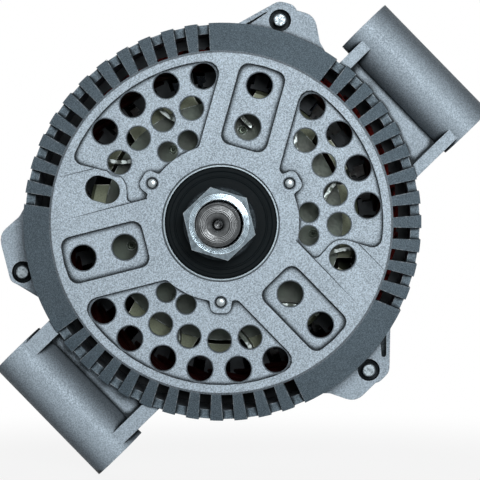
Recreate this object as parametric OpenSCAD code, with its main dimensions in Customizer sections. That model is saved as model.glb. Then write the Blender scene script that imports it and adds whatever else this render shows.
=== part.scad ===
// Car alternator with an internal fan, without its pulley: two cast housings
// clamp a stator, and the rotor runs between two sealed ball bearings.
// The origin is on the shaft axis, in the plane of the drive end face.
// The shaft points to -Y, +Z is up, and depths are measured behind that face.

/* [Drive end housing] */
// Radius of the flat drive end face
face_r = 64.1; // [63.6:0.1:64.6]
// Thickness of the face plate
face_t = 5; // [4:0.25:6]
// Outer radius of both housings
case_r = 75; // [74.6:0.1:77]
// Wall thickness of the housings beside the stator winding
case_wall = 4.1; // [3.5:0.1:4.5]
// Depth at which the sloped shoulder meets the side wall
shoulder_depth = 13; // [12:0.5:15]
// Depth of the drive end housing, from its face to its joint
front_depth = 42; // [41:0.5:46]
// Radius of the hub that carries the bearing, behind the face
hub_r = 28.4; // [27.6:0.1:29]
// Depth of the three ventilated panels in the face
panel_depth = 1.5; // [1:0.1:2]
// Depth of the three small pockets in the spokes
pocket_depth = 2; // [1.5:0.1:2.5]
// Outer radius of the panels and pockets
panel_r = 60.4; // [60:0.1:61]
// Inner radius of the panels
panel_hub_r = 29.2; // [28.8:0.1:29.6]
// Half the width of a spoke
spoke_half_w = 15.4; // [15:0.1:15.8]
// Half the width of the pocket in a spoke
pocket_half_w = 8.9; // [8.4:0.1:9.4]
// Drop of the two sloped lands at the hub
land_drop = 0.9; // [0.6:0.1:1.1]

/* [Slots and face holes] */
// Slots between the fins, in each third of the shoulder
slots_per_third = 12; // [8:1:12]
// Slots that would fit round the whole shoulder
slots_round = 51; // [48:1:54]
// Width of a slot
slot_w = 4.3; // [3.9:0.1:4.5]
// Depth by which a slot cuts into the side wall
groove_depth = 0.7; // [0.4:0.1:1]
// Distance of the outer circle of holes from the panels' outer edge
rim_margin = 5.4; // [5.3:0.1:5.7]
// Distance of the inner circle of holes from the panels' inner edge
hub_margin = 3.8; // [3.6:0.1:4.2]
// Radius of the outer holes
outer_hole_r = 4.8; // [4.4:0.1:5]
// Radius of the middle holes
middle_hole_r = 4.4; // [4:0.1:4.7]
// Radius of the inner holes
inner_hole_r = 3.7; // [3.3:0.1:3.8]
// Angle from one hole of a circle to the next
hole_step = 15; // [14.8:0.1:15.2]
// Rounding at the mouth of each hole
hole_edge = 0.4; // [0.2:0.1:0.5]

/* [Lugs and through bolts] */
// Direction of the first lug, counted from the right
lug_angle = 74.3; // [72:0.1:76]
// Distance of the bolt circle outside the housings
bolt_stand = 4.7; // [4.5:0.1:5.5]
// Radius of a through bolt
bolt_r = 2.5; // [2:0.1:2.8]
// Depth of the front of a drive end lug
lug_depth = 31; // [28:0.5:33]
// Depth of the wide mouth of a bolt hole
mouth_depth = 6; // [4:0.5:8]
// Thickness of a rear lug
rear_lug_t = 13; // [10:0.5:15]

/* [Mounting barrels] */
// Outer radius of a mounting barrel
barrel_r = 11.35; // [10.8:0.05:12]
// Length of a mounting barrel
barrel_len = 56; // [54:0.5:58]
// Distance of each barrel's axis outside the housings
barrel_stand = 15; // [14.5:0.1:16]
// Depth of the barrel axes
barrel_depth = 24; // [23:0.5:25]
// Start of the upper barrel along its own axis
upper_start = -15.8; // [-18:0.1:-14]
// Start of the lower barrel along its own axis
lower_start = -20; // [-22:0.1:-18]
// Radius of the hole through a barrel bush
bush_bore_r = 5.2; // [5.1:0.05:5.4]
// Wall of a barrel bush
bush_wall = 1.8; // [1.5:0.1:2.2]
// Thickness of the web that joins a barrel to the housing
web_t = 8; // [6:0.5:9]

/* [Shaft and nut] */
// Radius of the shaft at the pulley seat and the front bearing
seat_r = 8.5; // [8.5:0.05:8.6]
// Radius of the shaft's threaded end
thread_r = 8; // [7.8:0.05:8.1]
// Distance of the shaft's end in front of the face
nose_len = 31; // [29:0.5:34]
// Radius of the shaft's centre hole
centre_hole_r = 2.1; // [1.8:0.1:2.4]
// Nut size across its flats
nut_flats = 24; // [23.6:0.1:24.4]
// Height of the nut
nut_h = 10.5; // [9.5:0.5:12]
// Radius of the washer under the nut
washer_r = 13.7; // [13:0.1:14.5]
// Thickness of the washer
washer_t = 1.6; // [1.2:0.1:2]
// Distance of the washer's back in front of the face
washer_stand = 5; // [4:0.5:6]

/* [Bearings] */
// Outer radius of the front bearing
front_bearing_r = 23.5; // [23.3:0.1:23.7]
// Width of the front bearing
front_bearing_w = 14; // [13:0.5:15]
// Depth of the front bearing behind the face
front_bearing_depth = 1.8; // [1.5:0.1:2.2]
// Radius of a ball in the front bearing
front_ball_r = 4.36; // [4.2:0.02:4.4]
// Radius of the shaft in the rear bearing
tail_r = 7.5; // [7.4:0.05:7.6]
// Outer radius of the rear bearing
rear_bearing_r = 17.5; // [17.3:0.1:17.7]
// Width of the rear bearing
rear_bearing_w = 11; // [10:0.5:12]
// Radius of a ball in the rear bearing
rear_ball_r = 2.98; // [2.8:0.02:3]

/* [Stator] */
// Wall of the housings round the stator core
stator_wall = 2.5; // [2.2:0.1:2.8]
// Width of the core, from its bore to its outside
core_w = 20.5; // [19:0.5:22]
// Length of the stator core
stator_len = 34; // [32:0.5:38]
// Length of the core inside each housing's seat
stator_seat = 3; // [2.5:0.1:3.5]
// Slots in the stator core
stator_slots = 36; // [24:6:48]
// Length of the winding heads in front of and behind the core
winding_head = 13; // [11:0.5:14]

/* [Rotor] */
// Air gap between rotor and stator
air_gap = 0.5; // [0.4:0.05:0.7]
// Length of the rotor over both claw poles
rotor_len = 56; // [54:0.5:58]
// Claws on each pole
claws = 6; // [5:1:7]
// Radius of the rotor less the radius of its fans
fan_inset = 1; // [0.5:0.25:2.5]
// Width of a fan blade, from its outer to its inner end
blade_w = 13.5; // [11:0.5:15]
// Height of a fan blade
blade_h = 10; // [8:0.5:11]
// Blades on each fan
blades = 11; // [9:1:13]
// Radius of the slip rings
slip_ring_r = 10; // [9.6:0.1:10.4]
// Width of a slip ring
slip_ring_w = 5; // [4.5:0.1:5.5]

/* [Rear housing] */
// Depth of the rear housing, from its joint to its back
rear_depth = 42.5; // [41:0.5:46]
// Thickness of its back plate
back_t = 4.5; // [4:0.25:5.5]
// Radius of the terminal stud
stud_r = 4; // [3.8:0.1:4.2]
// Length of the terminal stud behind the back plate
stud_len = 24; // [22:0.5:28]

/* [Regulator and brushes] */
// Width of the regulator
regulator_w = 48; // [46:0.5:50]
// Height of the regulator
regulator_h = 40; // [38:0.5:42]
// Thickness of the regulator
regulator_t = 15; // [13:0.5:17]
// Length of a brush
brush_len = 17; // [15:0.5:18]
// Width of a brush round the shaft
brush_w = 6.4; // [6:0.1:7]

/* [Hidden] */
$fn = 96;

// Clearances
press_gap = 0.02;
seat_gap = 0.1;
body_gap = 0.3;
eps = 0.01;
past = 1;

// Directions of lugs and of the middles of the thirds between them
lug_angles = [for (k = [0:2]) lug_angle + 120 * k];
third_angles = [for (a = lug_angles) a + 60];
slot_pitch = 360 / slots_round;
barrel_angle = lug_angle + 240;
retainer_angles = [30, 150, 270];

// Depths along the shaft
bearing_back = front_bearing_depth + front_bearing_w;
retainer_t = 2;
stator_front = front_depth - stator_seat;
stator_back = stator_front + stator_len;
rear_start = stator_back - stator_seat;
rear_end = rear_start + rear_depth;
back_inner = rear_end - back_t;
rotor_middle = (stator_front + stator_back) / 2;
rotor_front = rotor_middle - rotor_len / 2;
rotor_back = rotor_middle + rotor_len / 2;
fan_t = 1.5;
ring_space = 3;
ring_front_depth = rotor_back + fan_t + ring_space + 0.5;
ring_rear_depth = ring_front_depth + slip_ring_w + ring_space;
tail_bearing_depth = ring_rear_depth + slip_ring_w + ring_space;
tail_bearing_back = tail_bearing_depth + rear_bearing_w;
boss_wall = 4;
boss_cap = 2.5;
boss_back = tail_bearing_back + boss_cap;

// Radii that follow
case_in_r = case_r - case_wall;
groove_r = case_r - groove_depth;
bolt_circle_r = case_r + bolt_stand;
barrel_offset = case_r + barrel_stand;
outer_ring_r = panel_r - rim_margin;
inner_ring_r = panel_hub_r + hub_margin;
middle_ring_r = (outer_ring_r + inner_ring_r) / 2;
stator_r = case_r - stator_wall;
stator_bore_r = stator_r - core_w;
rotor_r = stator_bore_r - air_gap;
fan_r = rotor_r - fan_inset;
winding_gap = 1.9;
winding_inset = 4;
winding_r = case_in_r - winding_gap;
winding_in_r = stator_bore_r + winding_inset;
retainer_circle_r = hub_r + 1.1;
retainer_screw_r = 2;
mouth_r = bolt_r + 1.7;
bush_r = bush_bore_r + bush_wall;
washer_front = -washer_stand - washer_t;
nut_front = washer_front - nut_h;
front_pitch_r = (seat_r + front_bearing_r) / 2;
rear_pitch_r = (tail_r + rear_bearing_r) / 2;

// The row frame: the drawing plane of the face becomes the XZ plane
module face_frame() {
  rotate([90, 0, 0]) children();
}

// Turned ring or disc between two depths
module ring(from, to, r_out, r_in = 0) {
  translate([0, 0, -to]) difference() {
    cylinder(h = to - from, r = r_out);
    if (r_in > 0) translate([0, 0, -past]) cylinder(h = to - from + 2 * past, r = r_in);
  }
}

// Cone between two depths, with a radius at each
module taper(from, to, r_from, r_to) {
  translate([0, 0, -to]) cylinder(h = to - from, r1 = r_to, r2 = r_from);
}

// Flat outline between two depths
module slab(from, to) {
  translate([0, 0, -to]) linear_extrude(height = to - from) children();
}

module at(r, a) {
  rotate([0, 0, a]) translate([r, 0, 0]) children();
}

function polar(r, a) = [r * cos(a), r * sin(a)];
function unit(v) = v / norm(v);
function cross2(a, b) = a[0] * b[1] - a[1] * b[0];

// Point at distance u along a direction and v to its left
function beside(a, u, v) = [u * cos(a) - v * sin(a), u * sin(a) + v * cos(a)];

// Arc that rounds the corner q of the path p, q, s
function rounded_corner(p, q, s, r, steps = 4) =
  let (a = unit(p - q), b = unit(s - q), half = acos(a * b) / 2)
  let (centre = q + unit(a + b) * r / sin(half), from = q + a * r / tan(half) - centre)
  let (turn = sign(cross2(q - p, s - q)) * (180 - 2 * half))
  [for (k = [0:steps]) let (t = turn * k / steps)
    centre + [from[0] * cos(t) - from[1] * sin(t), from[0] * sin(t) + from[1] * cos(t)]];

// Closed outline from points that each give x, y and the radius of their corner
function rounded_outline(path) = [for (i = [0:len(path) - 1])
  let (n = len(path), p = path[(i + n - 1) % n], q = path[i], s = path[(i + 1) % n])
  let (pp = [p[0], p[1]], qq = [q[0], q[1]], ss = [s[0], s[1]])
  each q[2] > 0 ? rounded_corner(pp, qq, ss, q[2]) : [qq]];

function point3(q, r) = [q[0], q[1], r];

// Points along an arc about the shaft axis
function arc_points(r, from, to, steps) =
  [for (k = [1:steps - 1]) point3(polar(r, from + (to - from) * k / steps), 0)];

// Recess in the face, with a flat floor
module recess(path, depth) {
  slab(-past, depth) polygon(rounded_outline(path));
}

// Where the side of the spoke at direction a crosses a radius
function spoke_turn(r) = asin(spoke_half_w / r);
function spoke_side(a, r, side, fillet) =
  point3(polar(r, a + side * spoke_turn(r)), fillet);
function angle_of(q) = atan2(q[1], q[0]);
function turn_to(from, to) = (to - from + 720) % 360;

// Hub side of a panel, from its high angle down to its low one, round a screw
bump_r = 4.3;
bump_turn = 7.2;
function hub_side(high, screw, low) = concat(
  arc_points(panel_hub_r, high, screw + 1.3 * bump_turn, 4),
  [point3(polar(panel_hub_r, screw + 1.15 * bump_turn), 0.8),
   point3(polar(retainer_circle_r + bump_r, screw + 0.85 * bump_turn), 2.4),
   point3(polar(retainer_circle_r + bump_r, screw - 0.85 * bump_turn), 2.4),
   point3(polar(panel_hub_r, screw - 1.15 * bump_turn), 0.8)],
  arc_points(panel_hub_r, screw - 1.3 * bump_turn, low, 5));

// Panel outline; its two sides are lists of points, low from hub to rim and high back
function panel_path(low, high, screw) =
  let (rim_low = angle_of(low[len(low) - 1]), rim_high = rim_low + turn_to(rim_low, angle_of(high[0])))
  let (hub_low = angle_of(low[0]), hub_high = hub_low + turn_to(hub_low, angle_of(high[len(high) - 1])))
  let (screw_turn = hub_low + turn_to(hub_low, screw))
  concat(low, arc_points(panel_r, rim_low + 4.5, rim_high - 4.5, 14), high,
    hub_side(hub_high, screw_turn, hub_low));

corner_r = 4.5;
hub_corner_r = 2.2;
single_hole_r = 4.9;
single_hole = polar(middle_ring_r + 3, third_angles[2] - 2 * hole_step);
long_hole_in = polar(middle_ring_r, third_angles[0] + 2 * hole_step);
long_hole_out = polar(middle_ring_r + 3.5, third_angles[0] + 2 * hole_step);
function round_hole(centre, r, a, fillet) = point3(centre + polar(r, a), fillet);

// The right panel ends on a land round the single hole
right_low = [spoke_side(barrel_angle, panel_hub_r, 1, 3.5), round_hole(single_hole, 9.9, 188, 2.4),
  round_hole(single_hole, 7.8, 106, 6.6), point3(polar(panel_r, third_angles[2] - 24), 3.5)];
right_high = [spoke_side(lug_angle, panel_r, -1, corner_r),
  spoke_side(lug_angle, panel_hub_r, -1, hub_corner_r)];
// The left panel ends on a land round the long hole
left_low = [spoke_side(lug_angle, panel_hub_r, 1, hub_corner_r),
  spoke_side(lug_angle, panel_r, 1, corner_r)];
left_high = [point3(polar(panel_r, third_angles[0] + 23.8), 3.2), round_hole(long_hole_in, 9.1, 37, 6.8),
  round_hole(long_hole_in, 8.7, 327, 1.8), spoke_side(lug_angles[1], panel_hub_r, -1, 1.2)];
bottom_low = [spoke_side(lug_angles[1], panel_hub_r, 1, hub_corner_r),
  spoke_side(lug_angles[1], panel_r, 1, corner_r)];
bottom_high = [spoke_side(barrel_angle, panel_r, -1, corner_r),
  spoke_side(barrel_angle, panel_hub_r, -1, hub_corner_r)];

pocket_in = panel_hub_r - 0.4;
pocket_margin = 8.2;
pocket_corner_r = 3.7;
function pocket_path(a) =
  let (turn = asin(pocket_half_w / panel_r))
  [point3(beside(a, pocket_in, pocket_half_w), pocket_corner_r),
   point3(beside(a, pocket_in, -pocket_half_w), pocket_corner_r),
   point3(polar(panel_r, a - turn), pocket_corner_r), point3(polar(panel_r, a), 0),
   point3(polar(panel_r, a + turn), pocket_corner_r)];

// Sloped land beside a spoke, cut by a plane that meets the face near the rim
land_reach = 30;
land_w = 16;
module land(a, side) {
  tilt = atan(land_drop / land_reach);
  near = side * spoke_half_w;
  far = side * (spoke_half_w + land_w);
  outline = [beside(a, panel_hub_r - 5, near), beside(a, panel_r, near),
    beside(a, panel_r - 3, far), beside(a, panel_hub_r + 4, far)];
  rotate([0, 0, a]) translate([panel_hub_r - 2, 0, -land_drop]) rotate([0, -tilt, 0])
    translate([-panel_hub_r + 2, 0, 0]) rotate([0, 0, -a])
      linear_extrude(height = 3) polygon(outline);
}

// Through hole in the face with a rounded mouth
module face_hole(r, floor_depth) {
  ring(-past, face_t + past, r);
  taper(floor_depth - past, floor_depth + hole_edge, r + hole_edge + past, r);
}

module hole_row(r_ring, r_hole, from, count) {
  for (k = [0:count - 1]) at(r_ring, from + hole_step * k) face_hole(r_hole, panel_depth);
}

module face_holes() {
  right = third_angles[2];
  left = third_angles[0];
  bottom = third_angles[1];
  hole_row(outer_ring_r, outer_hole_r, right - 0.5 * hole_step, 4);
  hole_row(middle_ring_r, middle_hole_r, right - hole_step, 4);
  hole_row(inner_ring_r, inner_hole_r, right - 1.5 * hole_step, 2);
  hole_row(outer_ring_r, outer_hole_r, left - 2.5 * hole_step, 4);
  hole_row(middle_ring_r, middle_hole_r, left - 2 * hole_step, 4);
  hole_row(inner_ring_r, inner_hole_r, left - 1.5 * hole_step, 2);
  hole_row(outer_ring_r, outer_hole_r, bottom - 2.5 * hole_step, 6);
  hole_row(middle_ring_r, middle_hole_r, bottom - 2 * hole_step, 5);
  hole_row(inner_ring_r, inner_hole_r, bottom - 1.5 * hole_step, 2);
  for (a = lug_angles) {
    at(pocket_in + pocket_margin, a) face_hole(outer_hole_r, pocket_depth);
    at(panel_r - pocket_margin + 0.9, a) face_hole(outer_hole_r, pocket_depth);
  }
  translate(single_hole) face_hole(single_hole_r, 0.4);
  slab(-past, face_t + past) long_hole();
}

module long_hole() {
  side = unit(long_hole_out) * (outer_hole_r - 0.02);
  translate(long_hole_in) circle(r = outer_hole_r);
  translate(long_hole_out) circle(r = outer_hole_r);
  polygon([long_hole_in + [side[1], -side[0]], long_hole_out + [side[1], -side[0]],
    long_hole_out - [side[1], -side[0]], long_hole_in - [side[1], -side[0]]]);
}

// Solid of revolution of the drive end housing, without any cut.
// Its wall bends inside a little in front of the ends of the slots
edge_r = 0.8;
corner_fill = 3;
inner_bend = shoulder_depth - 1.2;
module front_shell() {
  rotate_extrude() polygon([[0, 0], [face_r - edge_r, 0], [face_r, -edge_r], [case_r, -shoulder_depth],
    [case_r, -front_depth], [stator_r + seat_gap, -front_depth], [stator_r + seat_gap, -stator_front],
    [case_in_r, -stator_front], [case_in_r, -inner_bend], [face_r - 2, -face_t - corner_fill],
    [face_r - 2 - corner_fill, -face_t], [0, -face_t]]);
}

// Slots across the shoulder, each with its shallow groove down the side wall
groove_end = 4;
module slots() {
  slot_in = face_r + press_gap;
  for (a = third_angles) for (k = [0:slots_per_third - 1])
    rotate([90, 0, a + (k - (slots_per_third - 1) / 2) * slot_pitch])
      translate([0, 0, -slot_w / 2]) linear_extrude(height = slot_w) polygon([
        [slot_in, past], [slot_in, -shoulder_depth], [groove_r, -shoulder_depth],
        [groove_r, -front_depth + groove_end], [case_r + past, -front_depth + groove_end],
        [case_r + past, past]]);
}

// Lugs and barrels grow out of the middle of the wall round the stator core
lug_root_r = (case_r + stator_r) / 2;

// Outline of a lug from its bolt: outwards, to its left, and the radius of the corner
function front_lug(web) = [[-12, 17, 0], [5.4, 2.3, 3], [5.4, -web, 6], [-4, -web - 4.8, 2],
  [-13, -web - 14, 0]];
web_short = 12.2;
web_long = 16.2;
rear_lug = [[-12, 25, 0], [9.1, 3.6, 5], [9.1, -2.6, 4], [2, -9.5, 3], [-14, -15, 0]];
// Pocket in the front of each rear lug, behind a thin rim
lug_pocket = [[-8, 18.3, 0], [-8, 13, 0], [1.2, 5.8, 1.2], [4.8, 6, 1]];
lug_pocket_depth = 5;
function lug_points(path) = rounded_outline([for (q = path) [q[0] + bolt_circle_r, q[1], q[2]]]);

module lug(path, from, to) {
  slab(from, to) difference() {
    polygon(lug_points([for (i = [len(path) - 1:-1:0]) path[i]]));
    circle(r = lug_root_r);
  }
}

// Places its children beside a barrel: x along the barrel, y out from the shaft
module barrel_frame(side) {
  rotate([0, 0, barrel_angle]) mirror([0, side > 0 ? 0 : 1, 0]) children();
}

// Ribs of the barrels: distance from the barrel's start, and width
upper_ribs = [[3.8, 4.4], [50.5, 4.4]];
lower_ribs = [[1, 6], [48.3, 5.6]];
rib_stand = 1;

module barrel(start, ribs) {
  // Ribs and web run from inside the wall, where they are cut off, into the barrel
  root = case_in_r - 14;
  rib_back = barrel_r - 1.5;
  translate([start, barrel_offset, -barrel_depth]) rotate([0, 90, 0]) cylinder(h = barrel_len, r = barrel_r);
  for (rib = ribs) translate([start + rib[0], root, -barrel_depth - rib_back])
    cube([rib[1], barrel_offset - root - 3.5, rib_back + barrel_r - rib_stand]);
  translate([start + ribs[0][0] + 1, root, -barrel_depth - web_t])
    cube([ribs[1][0] - ribs[0][0], barrel_offset - root - 2, web_t]);
}

module barrel_hole(start) {
  translate([start - past, barrel_offset, -barrel_depth]) rotate([0, 90, 0])
    cylinder(h = barrel_len + 2 * past, r = bush_r + press_gap);
}

// Hub behind the face, with a boss for each retainer screw
retainer_boss_r = retainer_screw_r + 2.2;
retainer_mouth = 0.5;
module front_hub() {
  slab(face_t - 0.5, bearing_back) {
    circle(r = hub_r);
    for (a = retainer_angles) at(retainer_circle_r, a) circle(r = retainer_boss_r);
  }
}

bearing_lip = 1.5;
module drive_end_housing() {
  color([0.62, 0.66, 0.69]) face_frame() difference() {
    union() {
      difference() {
        front_shell();
        slots();
      }
      for (a = lug_angles) rotate([0, 0, a])
        lug(front_lug(a == lug_angles[1] ? web_long : web_short), lug_depth, front_depth);
      difference() {
        union() {
          barrel_frame(1) barrel(upper_start, upper_ribs);
          barrel_frame(-1) barrel(lower_start, lower_ribs);
        }
        ring(0, front_depth, lug_root_r);
      }
      front_hub();
    }
    ring(-past, bearing_back + past, front_bearing_r - bearing_lip);
    ring(front_bearing_depth, bearing_back + past, front_bearing_r + press_gap);
    ring(stator_front, front_depth + past, stator_r + seat_gap);
    recess(panel_path(right_low, right_high, retainer_angles[0]), panel_depth);
    recess(panel_path(left_low, left_high, retainer_angles[1]), panel_depth);
    recess(panel_path(bottom_low, bottom_high, retainer_angles[2]), panel_depth);
    for (a = lug_angles) recess(pocket_path(a), pocket_depth);
    land(barrel_angle, 1);
    land(lug_angles[1], -1);
    face_holes();
    for (a = retainer_angles) at(retainer_circle_r, a) {
      ring(-past, bearing_back + past, retainer_screw_r + press_gap);
      taper(-past, retainer_mouth, retainer_screw_r + retainer_mouth + past, retainer_screw_r);
    }
    for (a = lug_angles) at(bolt_circle_r, a) {
      ring(lug_depth - past, front_depth + past, bolt_r + press_gap);
      ring(lug_depth - past, lug_depth + mouth_depth, mouth_r);
    }
    barrel_frame(1) barrel_hole(upper_start);
    barrel_frame(-1) barrel_hole(lower_start);
  }
}

// Rolled steel bush with a narrow slit along its length
module barrel_bush(start) {
  slit = 0.8;
  inset = 0.3;
  translate([start + inset, barrel_offset, -barrel_depth]) rotate([0, 90, 0]) difference() {
    cylinder(h = barrel_len - 2 * inset, r = bush_r);
    translate([0, 0, -past]) cylinder(h = barrel_len + 2 * past, r = bush_bore_r);
    translate([0, -slit / 2, -past]) cube([bush_r + past, slit, barrel_len + 2 * past]);
  }
}

module upper_barrel_bush() {
  color([0.5, 0.5, 0.5]) face_frame() barrel_frame(1) barrel_bush(upper_start);
}

module lower_barrel_bush() {
  color([0.5, 0.5, 0.5]) face_frame() barrel_frame(-1) barrel_bush(lower_start);
}

// Ball bearing rings: a groove for the balls and a step at each side for the seals
race_gap = 0.05;
seal_step = 1.2;
seal_seat = 1.25;
module outer_race(from, width, r_out, pitch_r, ball_r) {
  land_r = pitch_r + 0.7 * ball_r + 0.3;
  middle = from + width / 2;
  difference() {
    ring(from, from + width, r_out, land_r);
    ring(from - past, from + seal_step, land_r + seal_seat);
    ring(from + width - seal_step, from + width + past, land_r + seal_seat);
    translate([0, 0, -middle]) rotate_extrude() translate([pitch_r, 0]) circle(r = ball_r + race_gap);
  }
}

module inner_race(from, width, r_in, pitch_r, ball_r) {
  land_r = pitch_r - 0.7 * ball_r - 0.3;
  middle = from + width / 2;
  difference() {
    ring(from, from + width, land_r, r_in + press_gap);
    translate([0, 0, -middle]) rotate_extrude() translate([pitch_r, 0]) circle(r = ball_r + race_gap);
  }
}

module bearing_balls(from, width, pitch_r, ball_r, count) {
  for (k = [0:count - 1]) at(pitch_r, 360 * k / count)
    translate([0, 0, -from - width / 2]) sphere(r = ball_r, $fn = 36);
}

// Cage: a band pierced by a pocket for each ball
module bearing_cage(from, width, pitch_r, ball_r, count) {
  middle = from + width / 2;
  difference() {
    ring(middle - ball_r - 1.1, middle + ball_r + 1.1, pitch_r + 0.6, pitch_r - 0.6);
    for (k = [0:count - 1]) at(pitch_r, 360 * k / count)
      translate([0, 0, -middle]) rotate([0, 90, 0]) cylinder(h = 4, r = ball_r + 0.08, center = true);
  }
}

// Rubber seals: they sit in the outer ring and stop just short of the inner one
module bearing_seals(from, width, pitch_r, ball_r) {
  land_r = pitch_r + 0.7 * ball_r + 0.3;
  inner_r = pitch_r - 0.7 * ball_r - 0.3;
  ring(from + 0.3, from + seal_step, land_r + seal_seat - press_gap, inner_r + body_gap);
  ring(from + width - seal_step, from + width - 0.3, land_r + seal_seat - press_gap, inner_r + body_gap);
}

front_balls = 7;
rear_balls = 8;

module front_bearing_outer_ring() {
  color("silver") face_frame()
    outer_race(front_bearing_depth, front_bearing_w, front_bearing_r, front_pitch_r, front_ball_r);
}

module front_bearing_inner_ring() {
  color("silver") face_frame()
    inner_race(front_bearing_depth, front_bearing_w, seat_r, front_pitch_r, front_ball_r);
}

module front_bearing_balls() {
  color("gainsboro") face_frame()
    bearing_balls(front_bearing_depth, front_bearing_w, front_pitch_r, front_ball_r, front_balls);
}

module front_bearing_cage() {
  color("darkgoldenrod") face_frame()
    bearing_cage(front_bearing_depth, front_bearing_w, front_pitch_r, front_ball_r, front_balls);
}

module front_bearing_seals() {
  color([0.08, 0.1, 0.11]) face_frame()
    bearing_seals(front_bearing_depth, front_bearing_w, front_pitch_r, front_ball_r);
}

// Plate that holds the bearing in the hub, with an ear at each screw
module bearing_retainer_plate() {
  color([0.6, 0.6, 0.55]) face_frame() difference() {
    union() {
      ring(bearing_back, bearing_back + retainer_t, hub_r - 1);
      for (a = retainer_angles) at(retainer_circle_r, a)
        ring(bearing_back, bearing_back + retainer_t, retainer_boss_r);
    }
    ring(bearing_back - past, bearing_back + retainer_t + past, front_bearing_r - 4);
    for (a = retainer_angles) at(retainer_circle_r, a)
      ring(bearing_back - past, bearing_back + retainer_t + past, retainer_screw_r + seat_gap);
  }
}

// Screws come from behind and end flush with the face
small_head_r = 3.6;
small_head_h = 2.4;
socket_r = 1.6;
module retainer_screws() {
  head = bearing_back + retainer_t;
  color("silver") face_frame() for (a = retainer_angles) at(retainer_circle_r, a) difference() {
    union() {
      ring(0.1, head + eps, retainer_screw_r);
      ring(head, head + small_head_h, small_head_r);
    }
    ring(head + 1, head + small_head_h + past, socket_r);
  }
}

// Hexagon nut with both faces chamfered and its thread counterbored
nut_turn = 43.5;
nut_crown_h = 1.6;
module pulley_nut() {
  corner = nut_flats / 2 / cos(30);
  crown = nut_flats / 2 - 0.6;
  color([0.72, 0.76, 0.8]) face_frame() difference() {
    intersection() {
      translate([0, 0, -washer_front]) rotate([0, 0, nut_turn]) cylinder(h = nut_h, r = corner, $fn = 6);
      union() {
        ring(nut_front + nut_crown_h, washer_front, corner + past);
        taper(nut_front, nut_front + nut_crown_h, crown, crown + tan(60) * nut_crown_h);
      }
    }
    ring(nut_front - past, washer_front + past, thread_r + press_gap);
    taper(nut_front - past, nut_front + 0.7, thread_r + 1.7, thread_r);
  }
}

module nut_washer() {
  color([0.7, 0.74, 0.78]) face_frame() difference() {
    union() {
      ring(washer_front + 0.5, -washer_stand, washer_r);
      taper(washer_front, washer_front + 0.5, washer_r - 0.5, washer_r);
    }
    ring(washer_front - past, -washer_stand + past, thread_r + 0.25);
  }
}

// Collar between the front bearing's inner ring and the washer
spacer_wall = 2.6;
module shaft_spacer() {
  color("silver") face_frame()
    ring(-washer_stand, front_bearing_depth, seat_r + spacer_wall, seat_r + press_gap);
}

shoulder_r = seat_r + 2.5;
claw_bore_r = shoulder_r - 1;
shaft_tail = tail_bearing_back - 1;
centre_depth = 9;

module rotor_shaft() {
  chamfer = 1;
  color([0.55, 0.5, 0.46]) face_frame() difference() {
    rotate_extrude() polygon([[0, nose_len], [thread_r - chamfer, nose_len], [thread_r, nose_len - chamfer],
      [thread_r, washer_stand], [seat_r, washer_stand], [seat_r, -bearing_back], [shoulder_r, -bearing_back],
      [shoulder_r, -rotor_front], [claw_bore_r, -rotor_front], [claw_bore_r, -rotor_back],
      [tail_r, -rotor_back], [tail_r, -shaft_tail + 0.5], [tail_r - 0.5, -shaft_tail], [0, -shaft_tail]]);
    ring(-nose_len - past, -nose_len + centre_depth, centre_hole_r);
    taper(-nose_len - eps, -nose_len + 1.6, centre_hole_r + 1.5, centre_hole_r);
  }
}

// Claw pole: a disc with fingers that taper as they reach over the field coil
claw_t = 11;
claw_wall = 8;
claw_tip_wall = 4;
claw_reach = rotor_len - 7;
claw_disc_r = rotor_r - claw_wall - 1.5;
module claw_outline() {
  root_w = 2.1 * rotor_r * sin(90 / claws);
  tip_w = root_w * 0.45;
  polygon([[-past, -root_w / 2], [claw_t, -root_w / 2], [claw_reach + past, -tip_w / 2],
    [claw_reach + past, tip_w / 2], [claw_t, root_w / 2], [-past, root_w / 2]]);
}

module claw_pole(turn) {
  chamfer = 1.2;
  bore_r = claw_bore_r + press_gap;
  intersection() {
    rotate_extrude() polygon([[bore_r, 0], [rotor_r - chamfer, 0], [rotor_r, -chamfer],
      [rotor_r, -claw_reach], [rotor_r - claw_tip_wall, -claw_reach], [rotor_r - claw_wall, -claw_t],
      [bore_r, -claw_t]]);
    union() {
      ring(-past, claw_t + past, claw_disc_r);
      for (k = [0:claws - 1]) rotate([0, 0, turn + 360 * k / claws])
        translate([claw_disc_r - 4, 0, 0]) rotate([0, 90, 0]) linear_extrude(height = claw_wall + 8)
          claw_outline();
    }
  }
}

module claw_pole_front() {
  color([0.42, 0.43, 0.33]) face_frame() translate([0, 0, -rotor_front]) claw_pole(0);
}

module claw_pole_rear() {
  color([0.42, 0.43, 0.33]) face_frame()
    translate([0, 0, -rotor_back]) mirror([0, 0, 1]) claw_pole(180 / claws);
}

core_r = 25;
module rotor_core() {
  color([0.45, 0.45, 0.45]) face_frame()
    ring(rotor_front + claw_t, rotor_back - claw_t, core_r, claw_bore_r + press_gap);
}

coil_r = rotor_r - claw_wall - 2;
bobbin_wall = 1.2;
module field_bobbin() {
  front = rotor_front + claw_t + seat_gap;
  back = rotor_back - claw_t - seat_gap;
  color([0.2, 0.2, 0.18]) face_frame() union() {
    ring(front, back, core_r + seat_gap + bobbin_wall, core_r + seat_gap);
    ring(front, front + bobbin_wall, coil_r + 0.8, core_r + seat_gap);
    ring(back - bobbin_wall, back, coil_r + 0.8, core_r + seat_gap);
  }
}

module field_coil() {
  front = rotor_front + claw_t + bobbin_wall + 2 * seat_gap;
  back = rotor_back - claw_t - bobbin_wall - 2 * seat_gap;
  color([0.6, 0.25, 0.12]) face_frame() ring(front, back, coil_r, core_r + 2 * seat_gap + bobbin_wall);
}

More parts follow.
